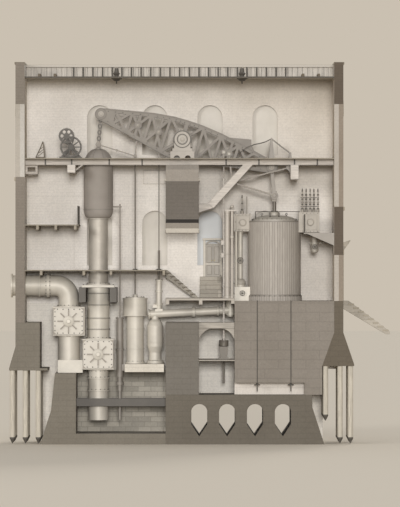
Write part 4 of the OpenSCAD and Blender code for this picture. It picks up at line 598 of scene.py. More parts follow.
def plank(start, end, near_y, far_y, width, ease=0.006):
    """A straight bar between two points of the engine's side view."""
    clear_selection()
    reach = (end[0] - start[0], end[1] - start[1])
    middle = ((start[0] + end[0]) / 2.0, (near_y + far_y) / 2.0, (start[1] + end[1]) / 2.0)
    slope = -math.atan2(reach[1], reach[0])
    bpy.ops.mesh.primitive_cube_add(size=1.0, location=middle, rotation=(0.0, slope, 0.0),
                                    scale=(math.hypot(*reach), far_y - near_y, width))
    return eased(settle(bpy.context.object), ease)


def rod(start, end, radius, sides=8):
    """A round bar between two points, with its ends eased."""
    clear_selection()
    start, end = Vector(start), Vector(end)
    reach = end - start
    bpy.ops.mesh.primitive_cylinder_add(vertices=sides, radius=radius, depth=reach.length)
    piece = bpy.context.object
    edit(piece)
    pick_faces(piece, lambda face: len(face.verts) == sides)
    bpy.ops.mesh.bevel(offset=radius * 0.25, segments=1, affect="EDGES")
    return move(piece, facing((start + end) / 2.0, reach))


def bent_rod(points, radius, sides=8):
    """The straight lengths of a round bar through a list of points."""
    return [rod(start, end, radius, sides) for start, end in zip(points, points[1:])]


def turned(steps, place=(0.0, 0.0, 0.0), along=UP, sides=24):
    """A round solid turned to a list of (radius, height) steps from its foot, and set at a place."""
    clear_selection()
    radius, height = steps[0]
    bpy.ops.mesh.primitive_circle_add(vertices=sides, radius=radius, fill_type="NGON",
                                      location=(0.0, 0.0, height))
    piece = settle(bpy.context.object)
    edit(piece)
    for wider, higher in steps[1:]:
        bpy.ops.mesh.extrude_region_move(TRANSFORM_OT_translate={"value": (0.0, 0.0, higher - height)})
        share = wider / radius
        bpy.ops.transform.resize(value=(share, share, 1.0), center_override=(0.0, 0.0, higher))
        radius, height = wider, higher
    face_out()
    return move(piece, facing(place, along))


def band(inner, outer, thick, place, along=UP, sides=48):
    """A flat ring spun from its section, centred on a place."""
    clear_selection()
    bpy.ops.mesh.primitive_plane_add(size=1.0, location=((inner + outer) / 2.0, 0.0, 0.0),
                                     rotation=(math.radians(90.0), 0.0, 0.0))
    piece = bpy.context.object
    piece.scale = (outer - inner, thick, 1.0)
    settle(piece)
    edit(piece)
    bpy.ops.mesh.delete(type="ONLY_FACE")
    bpy.ops.mesh.select_all(action="SELECT")
    bpy.ops.mesh.spin(steps=sides, dupli=False, angle=2.0 * math.pi, center=(0.0, 0.0, 0.0), axis=UP)
    bpy.ops.mesh.select_all(action="SELECT")
    bpy.ops.mesh.remove_doubles(threshold=0.0002)
    face_out()
    return move(piece, facing(place, along))


def arch_ring(width, sill, spring, thick, near_y, far_y):
    """An arched frame round an opening, seen along Y: its section is thick by the depth."""
    clear_selection()
    bpy.ops.mesh.primitive_circle_add(vertices=32, radius=width / 2.0, fill_type="NGON",
                                      location=(0.0, near_y, spring), rotation=(math.radians(90.0), 0.0, 0.0))
    piece = settle(bpy.context.object)
    edit(piece)
    bpy.ops.mesh.bisect(plane_co=(0.0, near_y, spring), plane_no=UP, clear_inner=True)
    low = spring + 0.001
    pick_edges(piece, lambda edge: all(corner.co.z < low for corner in edge.verts))
    bpy.ops.mesh.extrude_region_move(TRANSFORM_OT_translate={"value": (0.0, 0.0, sill - spring)})
    bpy.ops.mesh.select_all(action="SELECT")
    bpy.ops.mesh.inset(thickness=thick)
    bpy.ops.mesh.delete(type="FACE")
    bpy.ops.mesh.select_all(action="SELECT")
    bpy.ops.mesh.extrude_region_move(TRANSFORM_OT_translate={"value": (0.0, far_y - near_y, 0.0)})
    face_out()
    return settle(piece)


def nut(size):
    """A hexagon nut with the end of its bolt, standing on its seat."""
    clear_selection()
    bpy.ops.mesh.primitive_cylinder_add(vertices=6, radius=size, depth=size * 0.9,
                                        location=(0.0, 0.0, size * 0.45))
    piece = settle(bpy.context.object)
    edit(piece)
    top = size * 0.85
    pick_faces(piece, lambda face: face.calc_center_median().z > top)
    bpy.ops.mesh.inset(thickness=size * 0.3)
    bpy.ops.mesh.extrude_region_move(TRANSFORM_OT_translate={"value": (0.0, 0.0, size * 0.45)})
    return settle(piece)


def rivet(size):
    """A round rivet head on its seat."""
    return turned([(size, 0.0), (size * 0.9, size * 0.35), (size * 0.5, size * 0.6)], sides=8)


def joined(pieces):
    """Makes one piece of several."""
    take(pieces[0])
    for piece in pieces[1:]:
        piece.select_set(True)
    if len(pieces) > 1:
        bpy.ops.object.join()
    return settle(pieces[0])


def spread(piece, places):
    """Copies a finished piece to each place, each copy with its own mesh, and joins the copies."""
    copies = []
    for place in places:
        twin = piece.copy()
        twin.data = piece.data.copy()
        bpy.context.collection.objects.link(twin)
        twin.matrix_world = place
        copies.append(twin)
    bpy.data.objects.remove(piece)
    return joined(copies)


def round_point(radius, turn):
    """A point of a circle, from its radius and the angle turned."""
    return (radius * math.cos(turn), radius * math.sin(turn))


def ring_of(count, radius, centre, along=UP, first=0.0):
    """Places in a circle about an axis, each one facing along it."""
    middle = facing(centre, along)
    turns = [first + 2.0 * math.pi * number / count for number in range(count)]
    return [middle @ at(*round_point(radius, turn), 0.0) for turn in turns]


def twin_of(piece):
    """The mirror twin of a piece, across the engine's centre plane."""
    twin = piece.copy()
    twin.data = piece.data.copy()
    bpy.context.collection.objects.link(twin)
    twin.scale = (1.0, -1.0, 1.0)
    settle(twin)
    edit(twin)
    face_out()
    return settle(twin)


def both_sides(piece):
    return joined([piece, twin_of(piece)])


def done(piece, name, material, body="house", smooth=False):
    """Names a piece, gives it its finish and lets it ride on its body."""
    piece.name = name
    piece.data.name = name
    piece.data.materials.clear()
    piece.data.materials.append(material)
    if smooth:
        take(piece)
        bpy.ops.object.shade_smooth_by_angle(angle=math.radians(28.0))
    clear_selection()
    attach(piece, body)


# Windows, their arches, and the door in the long wall.

def window_sash(width, sill, spring, across, down):
    """A timber window with small lights and a fan head, in the plane Y 0."""
    radius = width / 2.0
    frame_w, lap, bar = 0.075, 0.06, 0.014
    parts = [arch_ring(width, sill, spring, frame_w, -0.06, 0.06)]
    for number in range(1, across):
        x = -radius + width * number / across
        top = spring + math.sqrt(radius * radius - x * x) - lap
        parts.append(block((x - bar, -0.025, sill + lap), (x + bar, 0.025, top), 0.004))
    for number in range(1, down + 1):
        z = sill + (spring - sill) * number / down
        deep = 0.03 if number == down else bar
        parts.append(block((-radius + lap, -0.028, z - deep), (radius - lap, 0.028, z + deep), 0.004))
    for turn in (35.0, 62.0, 118.0, 145.0):
        near_x, near_z = round_point(0.18, math.radians(turn))
        far_x, far_z = round_point(radius - 0.05, math.radians(turn))
        parts.append(plank((near_x, spring + near_z), (far_x, spring + far_z), -0.02, 0.02, 0.026, 0.003))
    return joined(parts)


def hang_windows():
    """The sashes of all the windows: eight in the long wall and one in each end wall."""
    sash_y, inset = WALL_Y + 0.345, 0.225
    for storey, sill, spring in STOREYS:
        sash = window_sash(WINDOW_W, sill, spring, 4, 6)
        done(spread(sash, [at(x, sash_y, 0.0) for x in WINDOW_XS]), storey + "_window_sashes", sash_paint)
    quarter = Matrix.Rotation(math.radians(90.0), 4, "Z")
    for side, x, sill in (("west", WEST_IN - inset, WEST_SILL_Z), ("east", EAST_IN + inset, EAST_SILL_Z)):
        sash = window_sash(END_WINDOW_W, sill, END_SPRING_Z, 4, 9)
        done(move(sash, at(x, 0.0, 0.0) @ quarter), side + "_window_sash", sash_paint)


def brick_arch(width, sill, spring):
    """A gauged arch and a sill round a window, standing on the plane Y 0 and proud of it."""
    radius = width / 2.0
    count, brick_h = 19, 0.3
    bricks = [block((-radius - 0.2, 0.0, sill - 0.2), (radius + 0.2, 0.12, sill), 0.015)]
    for number in range(count):
        angle = math.pi * (number + 0.5) / count
        wedge = block((-0.05, 0.0, 0.0), (0.05, 0.06, brick_h), 0.008)
        edit(wedge)
        pick_faces(wedge, lambda face: face.calc_center_median().z > brick_h - 0.01)
        bpy.ops.transform.resize(value=(1.35, 1.0, 1.0), center_override=(0.0, 0.03, brick_h))
        lean = Matrix.Rotation(math.pi / 2.0 - angle, 4, "Y")
        bricks.append(move(settle(wedge), at(0.0, 0.0, spring) @ lean @ at(0.0, 0.0, radius)))
    return joined(bricks)


def brick_arches():
    """The arches and sills of all the windows, on the outside of the house."""
    sunk = 0.01
    for storey, sill, spring in STOREYS:
        row = spread(brick_arch(WINDOW_W, sill, spring), [at(x, OUTER_Y - sunk, 0.0) for x in WINDOW_XS])
        done(row, storey + "_window_arches", trim_stone)
    for side, x, sill, turn in (("west", WEST_OUT + sunk, WEST_SILL_Z, 90.0),
                                ("east", EAST_OUT - sunk, EAST_SILL_Z, -90.0)):
        place = at(x, 0.0, 0.0) @ Matrix.Rotation(math.radians(turn), 4, "Z")
        done(move(brick_arch(END_WINDOW_W, sill, END_SPRING_Z), place), side + "_window_arch", trim_stone)


def wall_door():
    """The panelled door with two leaves in the long wall, on its steps, behind the valve gear."""
    left, right, foot, head = 1.281, 2.097, 9.153, 11.17
    middle, spring, rail_z = (left + right) / 2.0, head - 0.25, 9.85
    near, far, set_in = WALL_Y - 0.075, WALL_Y - 0.02, WALL_Y + 0.004
    parts = []
    for low_x, high_x in ((left, middle - 0.008), (middle + 0.008, right)):
        parts.append(block((low_x, near, foot), (high_x, far, spring), 0.006))
        for low_z, high_z in ((foot + 0.1, rail_z - 0.07), (rail_z + 0.07, head - 0.33)):
            corners = ((low_x + 0.07, near - 0.022, low_z), (high_x - 0.07, near + 0.01, high_z))
            parts.append(block(*corners, 0.02))
    head_board = arch_ring(right - left, spring, head - 0.2, 0.12, near, far)
    edit(head_board)
    bpy.ops.transform.resize(value=(1.0, 1.0, 0.5), center_override=(0.0, 0.0, spring))
    parts.append(move(settle(head_board), at(middle, 0.0, 0.0)))
    done(joined(parts), "wall_door_leaves", door_paint)
    frame_parts = [
        block((left - 0.13, near - 0.02, foot), (left, set_in, head + 0.02), 0.01),
        block((right, near - 0.02, foot), (right + 0.09, set_in, head + 0.02), 0.01),
        block((left - 0.17, near - 0.05, head), (right + 0.13, set_in, head + 0.11), 0.012),
        block((left, near - 0.012, rail_z - 0.04), (right, far, rail_z + 0.04), 0.006),
    ]
    done(joined(frame_parts), "wall_door_frame", sash_paint)
    rise, tread = 0.234, 0.1
    steps = []
    for number in range(5):
        near_y = WALL_Y - 0.02 - (0.62 - tread * number)
        low_z = DRIVING_FLOOR_Z + 0.002 + rise * number
        steps.append(block((left - 0.32, near_y, low_z), (right + 0.08, WALL_Y - 0.002, low_z + rise), 0.012))
    done(joined(steps), "wall_door_steps", step_stone)
    knob = [(0.012, 0.0), (0.012, 0.03), (0.028, 0.035), (0.03, 0.06), (0.012, 0.075)]
    knobs = [turned(knob, (middle + reach, near, 10.05), FRONT, 12) for reach in (-0.06, 0.06)]
    done(joined(knobs), "wall_door_knobs", brass)


# Stone and brick of the house.

def house_trim():
    """The cornices and copings of the walls, and the stones of the two back corners."""
    top_z = WALL_TOP_Z + 0.03
    parts = []
    for low_z, high_z, reach in ((STOREY_Z - 0.14, STOREY_Z + 0.06, 0.07),
                                 (WALL_TOP_Z - 0.42, WALL_TOP_Z - 0.3, 0.06)):
        low = (WEST_OUT - 0.02, OUTER_Y - 0.01, low_z)
        parts.append(block(low, (EAST_OUT + 0.02, OUTER_Y + reach, high_z), 0.02))
    low = (WEST_OUT - 0.03, OUTER_Y - 0.47, WALL_TOP_Z - 0.12)
    parts.append(block(low, (EAST_OUT + 0.03, OUTER_Y + 0.09, top_z), 0.025))
    done(joined(parts), "cornice_and_coping", trim_stone)
    foot_z, pitch, stone_h = 7.72, 0.62, 0.59
    quoins = []
    for x, inward in ((WEST_OUT, 1.0), (EAST_OUT, -1.0)):
        for number in range(20):
            low_z = foot_z + number * pitch
            reach = 0.62 if number % 2 else 0.38
            low_x, high_x = sorted((x - inward * 0.025, x + inward * reach))
            high = (high_x, OUTER_Y + 0.03, low_z + stone_h)
            quoins.append(block((low_x, OUTER_Y - 0.5, low_z), high, 0.02))
    done(joined(quoins), "corner_stones", trim_stone)
    caps = []
    for x, outward in ((WEST_OUT, -1.0), (EAST_OUT, 1.0)):
        low_x, high_x = sorted((x - outward * 0.52, x + outward * 0.06))
        low = (low_x, OPEN_FACE_Y + 0.002, WALL_TOP_Z - 0.1)
        caps.append(block(low, (high_x, OUTER_Y - 0.465, top_z), 0.02))
    done(joined(caps), "end_wall_copings", trim_stone)


def lever_wall_trim():
    """The moulding under the cap of the lever wall, and the springers of its arch at both faces."""
    near, far = OPEN_FACE_Y + 0.002, WALL_Y - 0.002
    cap = block((-LEVER_HALF - 0.05, near, 14.39), (LEVER_HALF + 0.05, far, 14.56), 0.03)
    done(cap, "lever_wall_moulding", bed_stone)
    half = LEVER_HALF + 0.025
    springers = [block((-half, near, 11.56), (half, OPEN_FACE_Y + 0.1, 11.72), 0.012),
                 block((-half, WALL_Y - 0.1, 11.56), (half, far, 11.72), 0.012)]
    done(joined(springers), "lever_wall_springers", trim_stone)


def holding_down_bolts():
    """The long bolts that tie the cylinder down, where the cut through the plinth shows them."""
    y = OPEN_FACE_Y + 0.012
    washer_and_nut = [(0.17, 0.0), (0.17, 0.05), (0.06, 0.06), (0.06, 0.14)]
    parts = []
    for x in (4.1, 5.938):
        parts.append(rod((x, y, 2.9), (x, y, 7.86), 0.032, 10))
        parts.append(turned(washer_and_nut, (x, y + 0.17, 3.23), sides=12))
    done(joined(parts), "holding_down_bolts", dark_iron)


def wall_relief():
    """The blind arch behind the main pump and the bearing stone beside the head of the lever wall."""
    ring = arch_ring(2.7, 9.57, 11.33, 0.07, WALL_Y - 0.035, WALL_Y + 0.01)
    stone = block((-2.17, WALL_Y - 0.06, 14.27), (-0.9, WALL_Y + 0.01, 15.05), 0.03)
    done(joined([move(ring, at(-4.69, 0.0, 0.0)), stone]), "inner_wall_relief", long_brick)


def entrance_dressing():
    """The stone surround of the entrance over the outside stair."""
    half, near_x = ENTRANCE_HALF, EAST_OUT - 0.01
    jamb_w, lintel_w = 0.22, 0.26
    parts = [
        block((near_x, -half - jamb_w, ENTRANCE_FOOT_Z), (EAST_OUT + 0.05, -half, ENTRANCE_HEAD_Z), 0.015),
        block((near_x, half, ENTRANCE_FOOT_Z), (EAST_OUT + 0.05, half + jamb_w, ENTRANCE_HEAD_Z), 0.015),
        block((near_x, -half - lintel_w, ENTRANCE_HEAD_Z),
              (EAST_OUT + 0.07, half + lintel_w, ENTRANCE_HEAD_Z + 0.3), 0.02),
    ]
    done(joined(parts), "entrance_surround", trim_stone)


def pile_shoes():
    """The pointed iron shoes under the footing piles."""
    shoe = [(0.014, 0.0), (0.15, 0.27), (0.152, 0.33), (0.146, 0.34)]
    parts = [turned(shoe, (x, y, z - 0.008), sides=16) for x, z in PILES for y in (-1.865, 0.0, 1.865)]
    done(joined(parts), "pile_shoes", dark_iron)


# Roof, ceiling and timber.

def roof_trim():
    """The rolls over the seams of the roof's lead, from the ridge over the bend to the eaves."""
    ridge, bend, eaves = (0.06, ROOF_TOP_Z + 0.005), (1.0, ROOF_TOP_Z - 0.12), (1.98, ROOF_TOP_Z - 0.475)
    rolls = []
    for number in range(27):
        x = WEST_IN + 0.2 + number * 0.635
        rolls += bent_rod([(x, *point) for point in (ridge, bend, eaves)], 0.022)
    done(joined(rolls), "roof_lead_rolls", roof_lead)


def ceiling_roses():
    """The two iron roses in the ceiling and the bearers that lie across it."""
    y = -0.9
    parts = []
    for x in (-3.606, 3.276):
        parts.append(turned([(0.05, 0.0), (0.16, 0.03), (0.22, 0.1), (0.3, 0.13), (0.3, 0.16)],
                            (x, y, CEILING_Z - 0.16), sides=20))
        parts.append(rod((x, y, CEILING_Z - 0.3), (x, y, CEILING_Z - 0.12), 0.04, 10))
        parts.append(turned([(0.09, 0.0), (0.13, 0.12), (0.2, 0.2), (0.13, 0.28), (0.1, 0.5)],
                            (x, y, CEILING_Z + 0.06), sides=16))
    done(joined(parts), "ceiling_roses", dark_iron)
    bearers = [block((x - 0.07, -1.9, CEILING_Z + 0.06), (x + 0.07, 1.9, CEILING_Z + 0.23), 0.012)
               for x in (-7.821, -6.965, 6.605, 7.464)]
    done(joined(bearers), "roof_bearers", dark_timber)


def loft_screen():
    """The limewashed boards that close the roof space behind its struts."""
    count, gap = 60, 0.003
    wide = (EAST_IN - WEST_IN) / count
    boards = []
    for number in range(count):
        x = WEST_IN + number * wide
        high = (x + wide - gap, 0.2, CEILING_Z + 0.645)
        boards.append(block((x + gap, 0.17, CEILING_Z + 0.072), high, 0.004))
    done(joined(boards), "loft_screen", lime_boards)


def stays():
    """The thin stays between the posts over the spring beams."""
    run = [(4.88, 16.73), (4.6, 16.58), (4.3, 16.49), (3.95, 16.42), (3.55, 16.26), (3.2, 16.0),
           (2.95, 15.66)]
    arc = [(4.92, 16.72), (5.2, 16.5), (5.45, 16.3), (5.7, 16.12), (5.926, 15.95)]
    parts = []
    for y in (-0.93, 0.93):
        for line in (run, arc):
            parts += bent_rod([(x, y, z) for x, z in line], 0.014)
    done(joined(parts), "post_stays", dark_iron)


def timber_dressing():
    """The straps and nuts of the spring beams, and the slats of the catch frame."""
    near_y, half_w, wide, thick = -1.23, 0.04, 0.4, 0.012
    low_z, high_z = 15.28, 15.655
    straps = []
    for x in STRAP_XS:
        for y in (near_y, -near_y - wide):
            straps.append(block((x - half_w, y, low_z - 0.004), (x + half_w, y + wide, low_z + thick), 0.004))
            straps.append(block((x - half_w, y, low_z), (x + half_w, y + thick, high_z), 0.004))
            straps.append(block((x - half_w, y + wide - thick, low_z), (x + half_w, y + wide, high_z), 0.004))
    done(joined(straps), "spring_beam_straps", dark_iron)
    bolts = [facing((x, near_y, z), FRONT) for x in STRAP_XS for z in (15.37, 15.57)]
    done(spread(nut(0.024), bolts), "spring_beam_nuts", dark_iron)
    corners = [(-8.034, 15.69), (-7.56, 15.69), (-7.58, 16.066), (-7.645, 16.56), (-7.8, 16.166),
               (-8.034, 15.69)]
    slats = [plank(start, end, -1.062, -1.036, 0.05, 0.004) for start, end in zip(corners, corners[1:])]
    for low, high in (((-7.93, 15.75), (-7.6, 16.0)), ((-7.85, 15.95), (-7.62, 16.13)),
                      ((-7.78, 16.15), (-7.64, 16.27))):
        slats.append(plank(low, high, -1.056, -1.036, 0.03, 0.003))
    done(joined(slats), "catch_frame_slats", dark_timber)


def stair_treads():
    """Tread ends and brackets on the strings of the inner stair, and the nosings of the outside stair."""
    rise, run = (PUMP_FLOOR_Z - DRIVING_FLOOR_Z) / 8.0, 0.225
    near, far = 1.12, 1.93
    parts = []
    for number in range(1, 8):
        x = -LEVER_HALF + (number - 1) * run
        z = PUMP_FLOOR_Z - number * rise
        for low_y, high_y in ((near - 0.012, near + 0.09), (far - 0.02, far + 0.07)):
            parts.append(block((x - 0.02, low_y, z - 0.01), (x + run + 0.05, high_y, z + 0.035), 0.006))
            parts.append(plank((x + 0.02, z - 0.1), (x + 0.14, z), low_y, low_y + 0.03, 0.03, 0.004))
    done(joined(parts), "inner_stair_brackets", dark_timber)
    rise, run = 1.833 / 9.0, 0.27
    parts = []
    for number in range(1, 9):
        x = EAST_OUT + 0.33 + (number - 1) * run
        z = ENTRANCE_FOOT_Z - number * rise
        for low_y, high_y in ((-0.72, -0.6), (0.6, 0.72)):
            parts.append(block((x - 0.03, low_y, z - 0.02), (x + run + 0.02, high_y, z + 0.05), 0.008))
    done(joined(parts), "outer_stair_nosings", trim_stone)


def floor_fittings():
    """Guides of the rods where they pass the pump floor, and the brackets of the cross beam."""
    parts = []
    for x, radius in ((AIR_ROD_X, 0.042), (FEED_X, 0.064)):
        parts.append(band(radius + 0.004, radius + 0.07, 0.05, (x, 0.0, 9.56), sides=24))
        parts.append(band(radius + 0.05, radius + 0.13, 0.02, (x, 0.0, 9.538), sides=24))
    done(joined(parts), "rod_guides", dark_iron)
    low = [plank((-5.85, 15.0), (-5.46, 15.3), y - 0.1, y + 0.1, 0.09, 0.01) for y in (-1.03, 1.03)]
    done(joined(low), "cross_beam_brackets", frame_timber)


# Pumps, chests and pipes.

def pump_fasteners():
    """The nuts of the main pump and its pipes, and the rings at the joints of its barrel."""
    plate_z, flange_t = 8.695, 0.09
    bolts = ring_of(16, 0.655, (MAIN_X, 0.0, 5.798))
    bolts += ring_of(12, 0.6, (MAIN_X, 0.0, plate_z + flange_t), first=0.2)
    for reach in (0.6, 0.2):
        for x in (-0.82, 0.82):
            for y in (-reach, reach):
                bolts.append(facing((MAIN_X + x, y, plate_z)))
    bolts += ring_of(14, 0.58, (MAIN_X, 0.0, 3.999), DOWN)
    for z in (3.63, 2.95):
        bolts += ring_of(14, 0.58, (MAIN_X, 0.0, z))
    bolts += ring_of(16, 0.605, (DELIVERY_X, 0.0, 7.567))
    bolts += ring_of(16, 0.605, (JOINT_X + flange_t, 0.0, DELIVERY_Z), EAST)
    bolts += ring_of(16, 0.605, (JOINT_X - flange_t, 0.0, DELIVERY_Z), WEST)
    done(spread(nut(0.03), bolts), "pump_flange_nuts", dark_iron)
    joints = [band(0.6, 0.652, 0.03, (MAIN_X, 0.0, z + flange_t / 2.0)) for z in (6.226, 6.834, 7.558, 8.201)]
    done(joined(joints), "pump_barrel_joint_rings", dark_iron)


def chest_dressing(name, middle_x, middle_z, wide, high):
    """The nuts, rims and round cover of a valve chest's door."""
    nut_y, lap, depth = -0.76, 0.03, 0.72
    half_w, half_h = wide / 2.0, high / 2.0
    bolts = []
    for share in (-1.0, -0.5, 0.0, 0.5, 1.0):
        for sign in (-1.0, 1.0):
            level = (share * (half_w - 0.25), sign * (half_h - 0.11))
            upright = (sign * (half_w - 0.11), share * (half_h - 0.25))
            for x, z in (level, upright):
                bolts.append(facing((middle_x + x, nut_y, middle_z + z), FRONT))
    done(spread(nut(0.034), bolts), name + "_nuts", dark_iron)
    parts = []
    for z in (middle_z + half_h, middle_z - half_h):
        low = (middle_x - half_w - lap, -depth, z - lap)
        parts.append(block(low, (middle_x + half_w + lap, depth, z + lap), 0.012))
    parts.append(turned([(0.3, 0.0), (0.3, 0.03), (0.24, 0.06), (0.13, 0.075), (0.13, 0.12), (0.1, 0.14)],
                        (middle_x, -0.845, middle_z), FRONT, 28))
    done(joined(parts), name + "_rims", pale_iron, smooth=True)


def small_pump_dressing():
    """Nuts and rings of the air pump, the condenser, the feed pump and the cold water pump."""
    bolts = ring_of(12, 0.48, (AIR_ROD_X, 0.0, 8.042), first=0.26)
    bolts += ring_of(12, 0.495, (AIR_ROD_X, 0.0, 4.502), first=0.26)
    bolts += ring_of(10, 0.41, (CONDENSER_X, 0.0, 4.537))
    bolts += ring_of(8, 0.185, (FEED_X, 0.0, 8.993))
    bolts += ring_of(8, 0.21, (COLD_X, 0.0, 6.914))
    bolts += ring_of(8, 0.215, (COLD_X, 0.0, 5.18))
    done(spread(nut(0.022), bolts), "small_pump_nuts", dark_iron)
    rings = [
        band(0.645, 0.685, 0.09, (AIR_ROD_X, 0.0, 7.94)),
        band(0.645, 0.685, 0.07, (AIR_ROD_X, 0.0, 7.02)),
        band(0.468, 0.51, 0.06, (AIR_ROD_X, 0.0, 6.3)),
        band(0.468, 0.51, 0.06, (AIR_ROD_X, 0.0, 5.2)),
        band(0.437, 0.47, 0.06, (CONDENSER_X, 0.0, 5.55)),
    ]
    done(joined(rings), "small_pump_rings", pale_iron, smooth=True)


def eduction_dressing():
    """Nuts round the flanges of the sloped eduction pipe."""
    slope = math.radians(2.9)
    run = (math.cos(slope), 0.0, math.sin(slope))
    bolts = []
    for reach, radius in ((-0.288, 0.25), (2.212, 0.262), (3.522, 0.25)):
        centre = (CONDENSER_X + reach * run[0], 0.0, 7.105 + reach * run[2])
        bolts += ring_of(10, radius, centre, run)
    done(spread(nut(0.02), bolts), "eduction_nuts", dark_iron)


# The steam cylinder, its chests and the valve gear.

def cylinder_dressing():
    """Nuts, hoops, eye bolts, rails and ribs of the cylinder and its cover."""
    bolts = ring_of(32, 1.487, (CYLINDER_X, 0.0, 8.085))
    bolts += ring_of(28, 1.205, (CYLINDER_X, 0.0, 12.298), first=0.1)
    bolts += ring_of(4, 0.21, (CYLINDER_X, 0.0, 12.737), first=0.785)
    done(spread(nut(0.034), bolts), "cylinder_nuts", dark_iron)
    hoops = [band(CASING_R, outer, high, (CYLINDER_X, 0.0, z), sides=64)
             for outer, high, z in ((1.462, 0.07, 12.19), (1.47, 0.1, 8.135))]
    done(joined(hoops), "casing_hoops", mid_iron, smooth=True)
    eyes = []
    for x, y in ((4.376, -0.35), (4.812, -0.85), (5.3, -0.85), (5.719, -0.35), (4.376, 0.35), (5.719, 0.35)):
        eyes.append(turned([(0.05, 0.0), (0.05, 0.03), (0.02, 0.04), (0.02, 0.1)], (x, y, 12.44), sides=10))
        eyes.append(band(0.035, 0.065, 0.03, (x, y, 12.59), BACK, 16))
    done(joined(eyes), "cover_eye_bolts", dark_iron)
    west_x, east_x, half = 4.02, 6.42, 0.5
    rail = [rod((west_x, y, 12.73), (east_x, y, 12.73), 0.016) for y in (-half, half)]
    rail += [rod((x, y, 12.3), (x, y, 12.745), 0.018) for x in (west_x, east_x) for y in (-half, half)]
    done(joined(rail), "cover_rails", dark_iron)
    count = 12
    profile = ((0.3, 12.505), (0.68, 12.487), (1.13, 12.345))
    ribs = []
    for number in range(count):
        turn = 2.0 * math.pi * (number + 0.5) / count
        points = []
        for radius, z in profile:
            x, y = round_point(radius, turn)
            points.append((CYLINDER_X + x, y, z))
        ribs += bent_rod(points, 0.02)
    done(joined(ribs), "cover_ribs", cover_iron)


def gear_dressing():
    """The handles, handwheels, drain cock and valve bonnet of the valve gear."""
    hub = [(0.085, 0.0), (0.085, 0.1), (0.06, 0.12)]
    grip = [(0.02, 0.0), (0.036, 0.03), (0.04, 0.12), (0.028, 0.2), (0.04, 0.24), (0.02, 0.27)]
    parts = []
    for z, reach in ((8.5, 0.34), (9.04, 0.42)):
        for y in (-0.34, -0.12, 0.3):
            end = (SLENDER_X - reach, y, z + 0.12)
            parts.append(turned(hub, (SLENDER_X, y - 0.05, z), BACK, 16))
            parts.append(rod((SLENDER_X, y, z), end, 0.022))
            parts.append(turned(grip, end, (-1.0, 0.0, 0.35), 12))
    for z in (8.26, 8.8):
        parts.append(rod((SLENDER_X, -0.14, z), (SLENDER_X + 0.5, -0.14, z - 0.05), 0.02))
    done(joined(parts), "hand_gear_levers", rod_iron, smooth=True)
    wheels = []
    for x, y, z, radius, stem in ((3.191, -0.36, 10.05, 0.16, 0.26), (7.28, -0.32, 10.8, 0.13, 0.15),
                                  (3.3, -0.68, 8.25, 0.14, 0.13)):
        wheels.append(rod((x, y + stem, z), (x, y - 0.02, z), 0.018))
        wheels.append(band(radius - 0.02, radius + 0.012, 0.028, (x, y, z), BACK, 28))
        wheels.append(turned([(0.035, 0.0), (0.04, 0.05), (0.02, 0.06)], (x, y + 0.025, z), FRONT, 12))
        for number in range(4):
            out_x, out_z = round_point(radius, math.pi * number / 4.0)
            wheels.append(rod((x - out_x, y, z - out_z), (x + out_x, y, z + out_z), 0.009, 6))
    done(joined(wheels), "handwheels", dark_iron, smooth=True)
    cock_x, cock_z = 7.28, 11.0
    plug = [(0.05, 0.0), (0.075, 0.03), (0.05, 0.07)]
    drain = [
        rod((7.075, 0.0, cock_z), (7.68, 0.0, cock_z), 0.03, 10),
        turned(plug, (7.64, 0.0, cock_z), EAST, 14),
        turned(plug, (7.06, 0.0, cock_z), WEST, 14),
        band(0.185, 0.215, 0.05, (cock_x, 0.0, cock_z)),
        band(0.185, 0.215, 0.05, (cock_x, 0.0, 10.62)),
        turned([(0.19, 0.0), (0.16, -0.06), (0.06, -0.12)], (cock_x, 0.0, 10.56)),
    ]
    done(joined(drain), "drain_cock", cover_iron, smooth=True)
    bonnet = turned([(0.27, 0.0), (0.3, 0.05), (0.29, 0.16), (0.22, 0.28), (0.16, 0.3), (0.16, 0.34)],
                    (LOW_CHEST_X + 0.32, 0.0, 8.72), sides=32)
    done(bonnet, "exhaust_valve_bonnet", cover_iron, smooth=True)


def chest_nuts():
    """Nuts on the lids and doors of the two upper chests, and the plates of their doors."""
    bolts = []
    for number in range(6):
        y = -0.5 + 0.2 * number
        bolts += [facing((x, y * 0.92, TOP_CHEST_TOP)) for x in (2.87, 3.72)]
        bolts += [facing((x, y * 1.1, STEAM_CHEST_TOP)) for x in (6.44, 7.46)]
    for first_x, pitch, y, heights in ((2.92, 0.19, -0.52, (11.7, 12.16, 12.55)),
                                       (6.62, 0.2, -0.62, (11.65, 12.64))):
        for number in range(5):
            bolts += [facing((first_x + pitch * number, y, z), FRONT) for z in heights]
    done(spread(nut(0.024), bolts), "chest_lid_nuts", dark_iron)
    boss = [(0.2, 0.0), (0.2, 0.02), (0.14, 0.04)]
    parts = [
        block((TOP_CHEST_X + 0.12, -0.545, 11.74), (TOP_CHEST_X + 0.86, -0.515, 12.5), 0.012),
        block((6.66, -0.645, 11.72), (7.4, -0.615, 12.56), 0.012),
        turned(boss, (TOP_CHEST_X + 0.49, -0.54, 12.12), FRONT, 28),
        turned(boss, (7.03, -0.64, 12.14), FRONT, 28),
    ]
    done(joined(parts), "chest_door_plates", chest_iron)


def spindle_nut(radius, place):
    return turned([(radius, 0.0), (radius * 1.1, 0.03), (radius, 0.07)], place, sides=12)


def finial(place, tip):
    return turned([(0.045, 0.0), (0.05, 0.03), (0.022, 0.06), (0.034, 0.1), (0.008, tip)], place, sides=12)


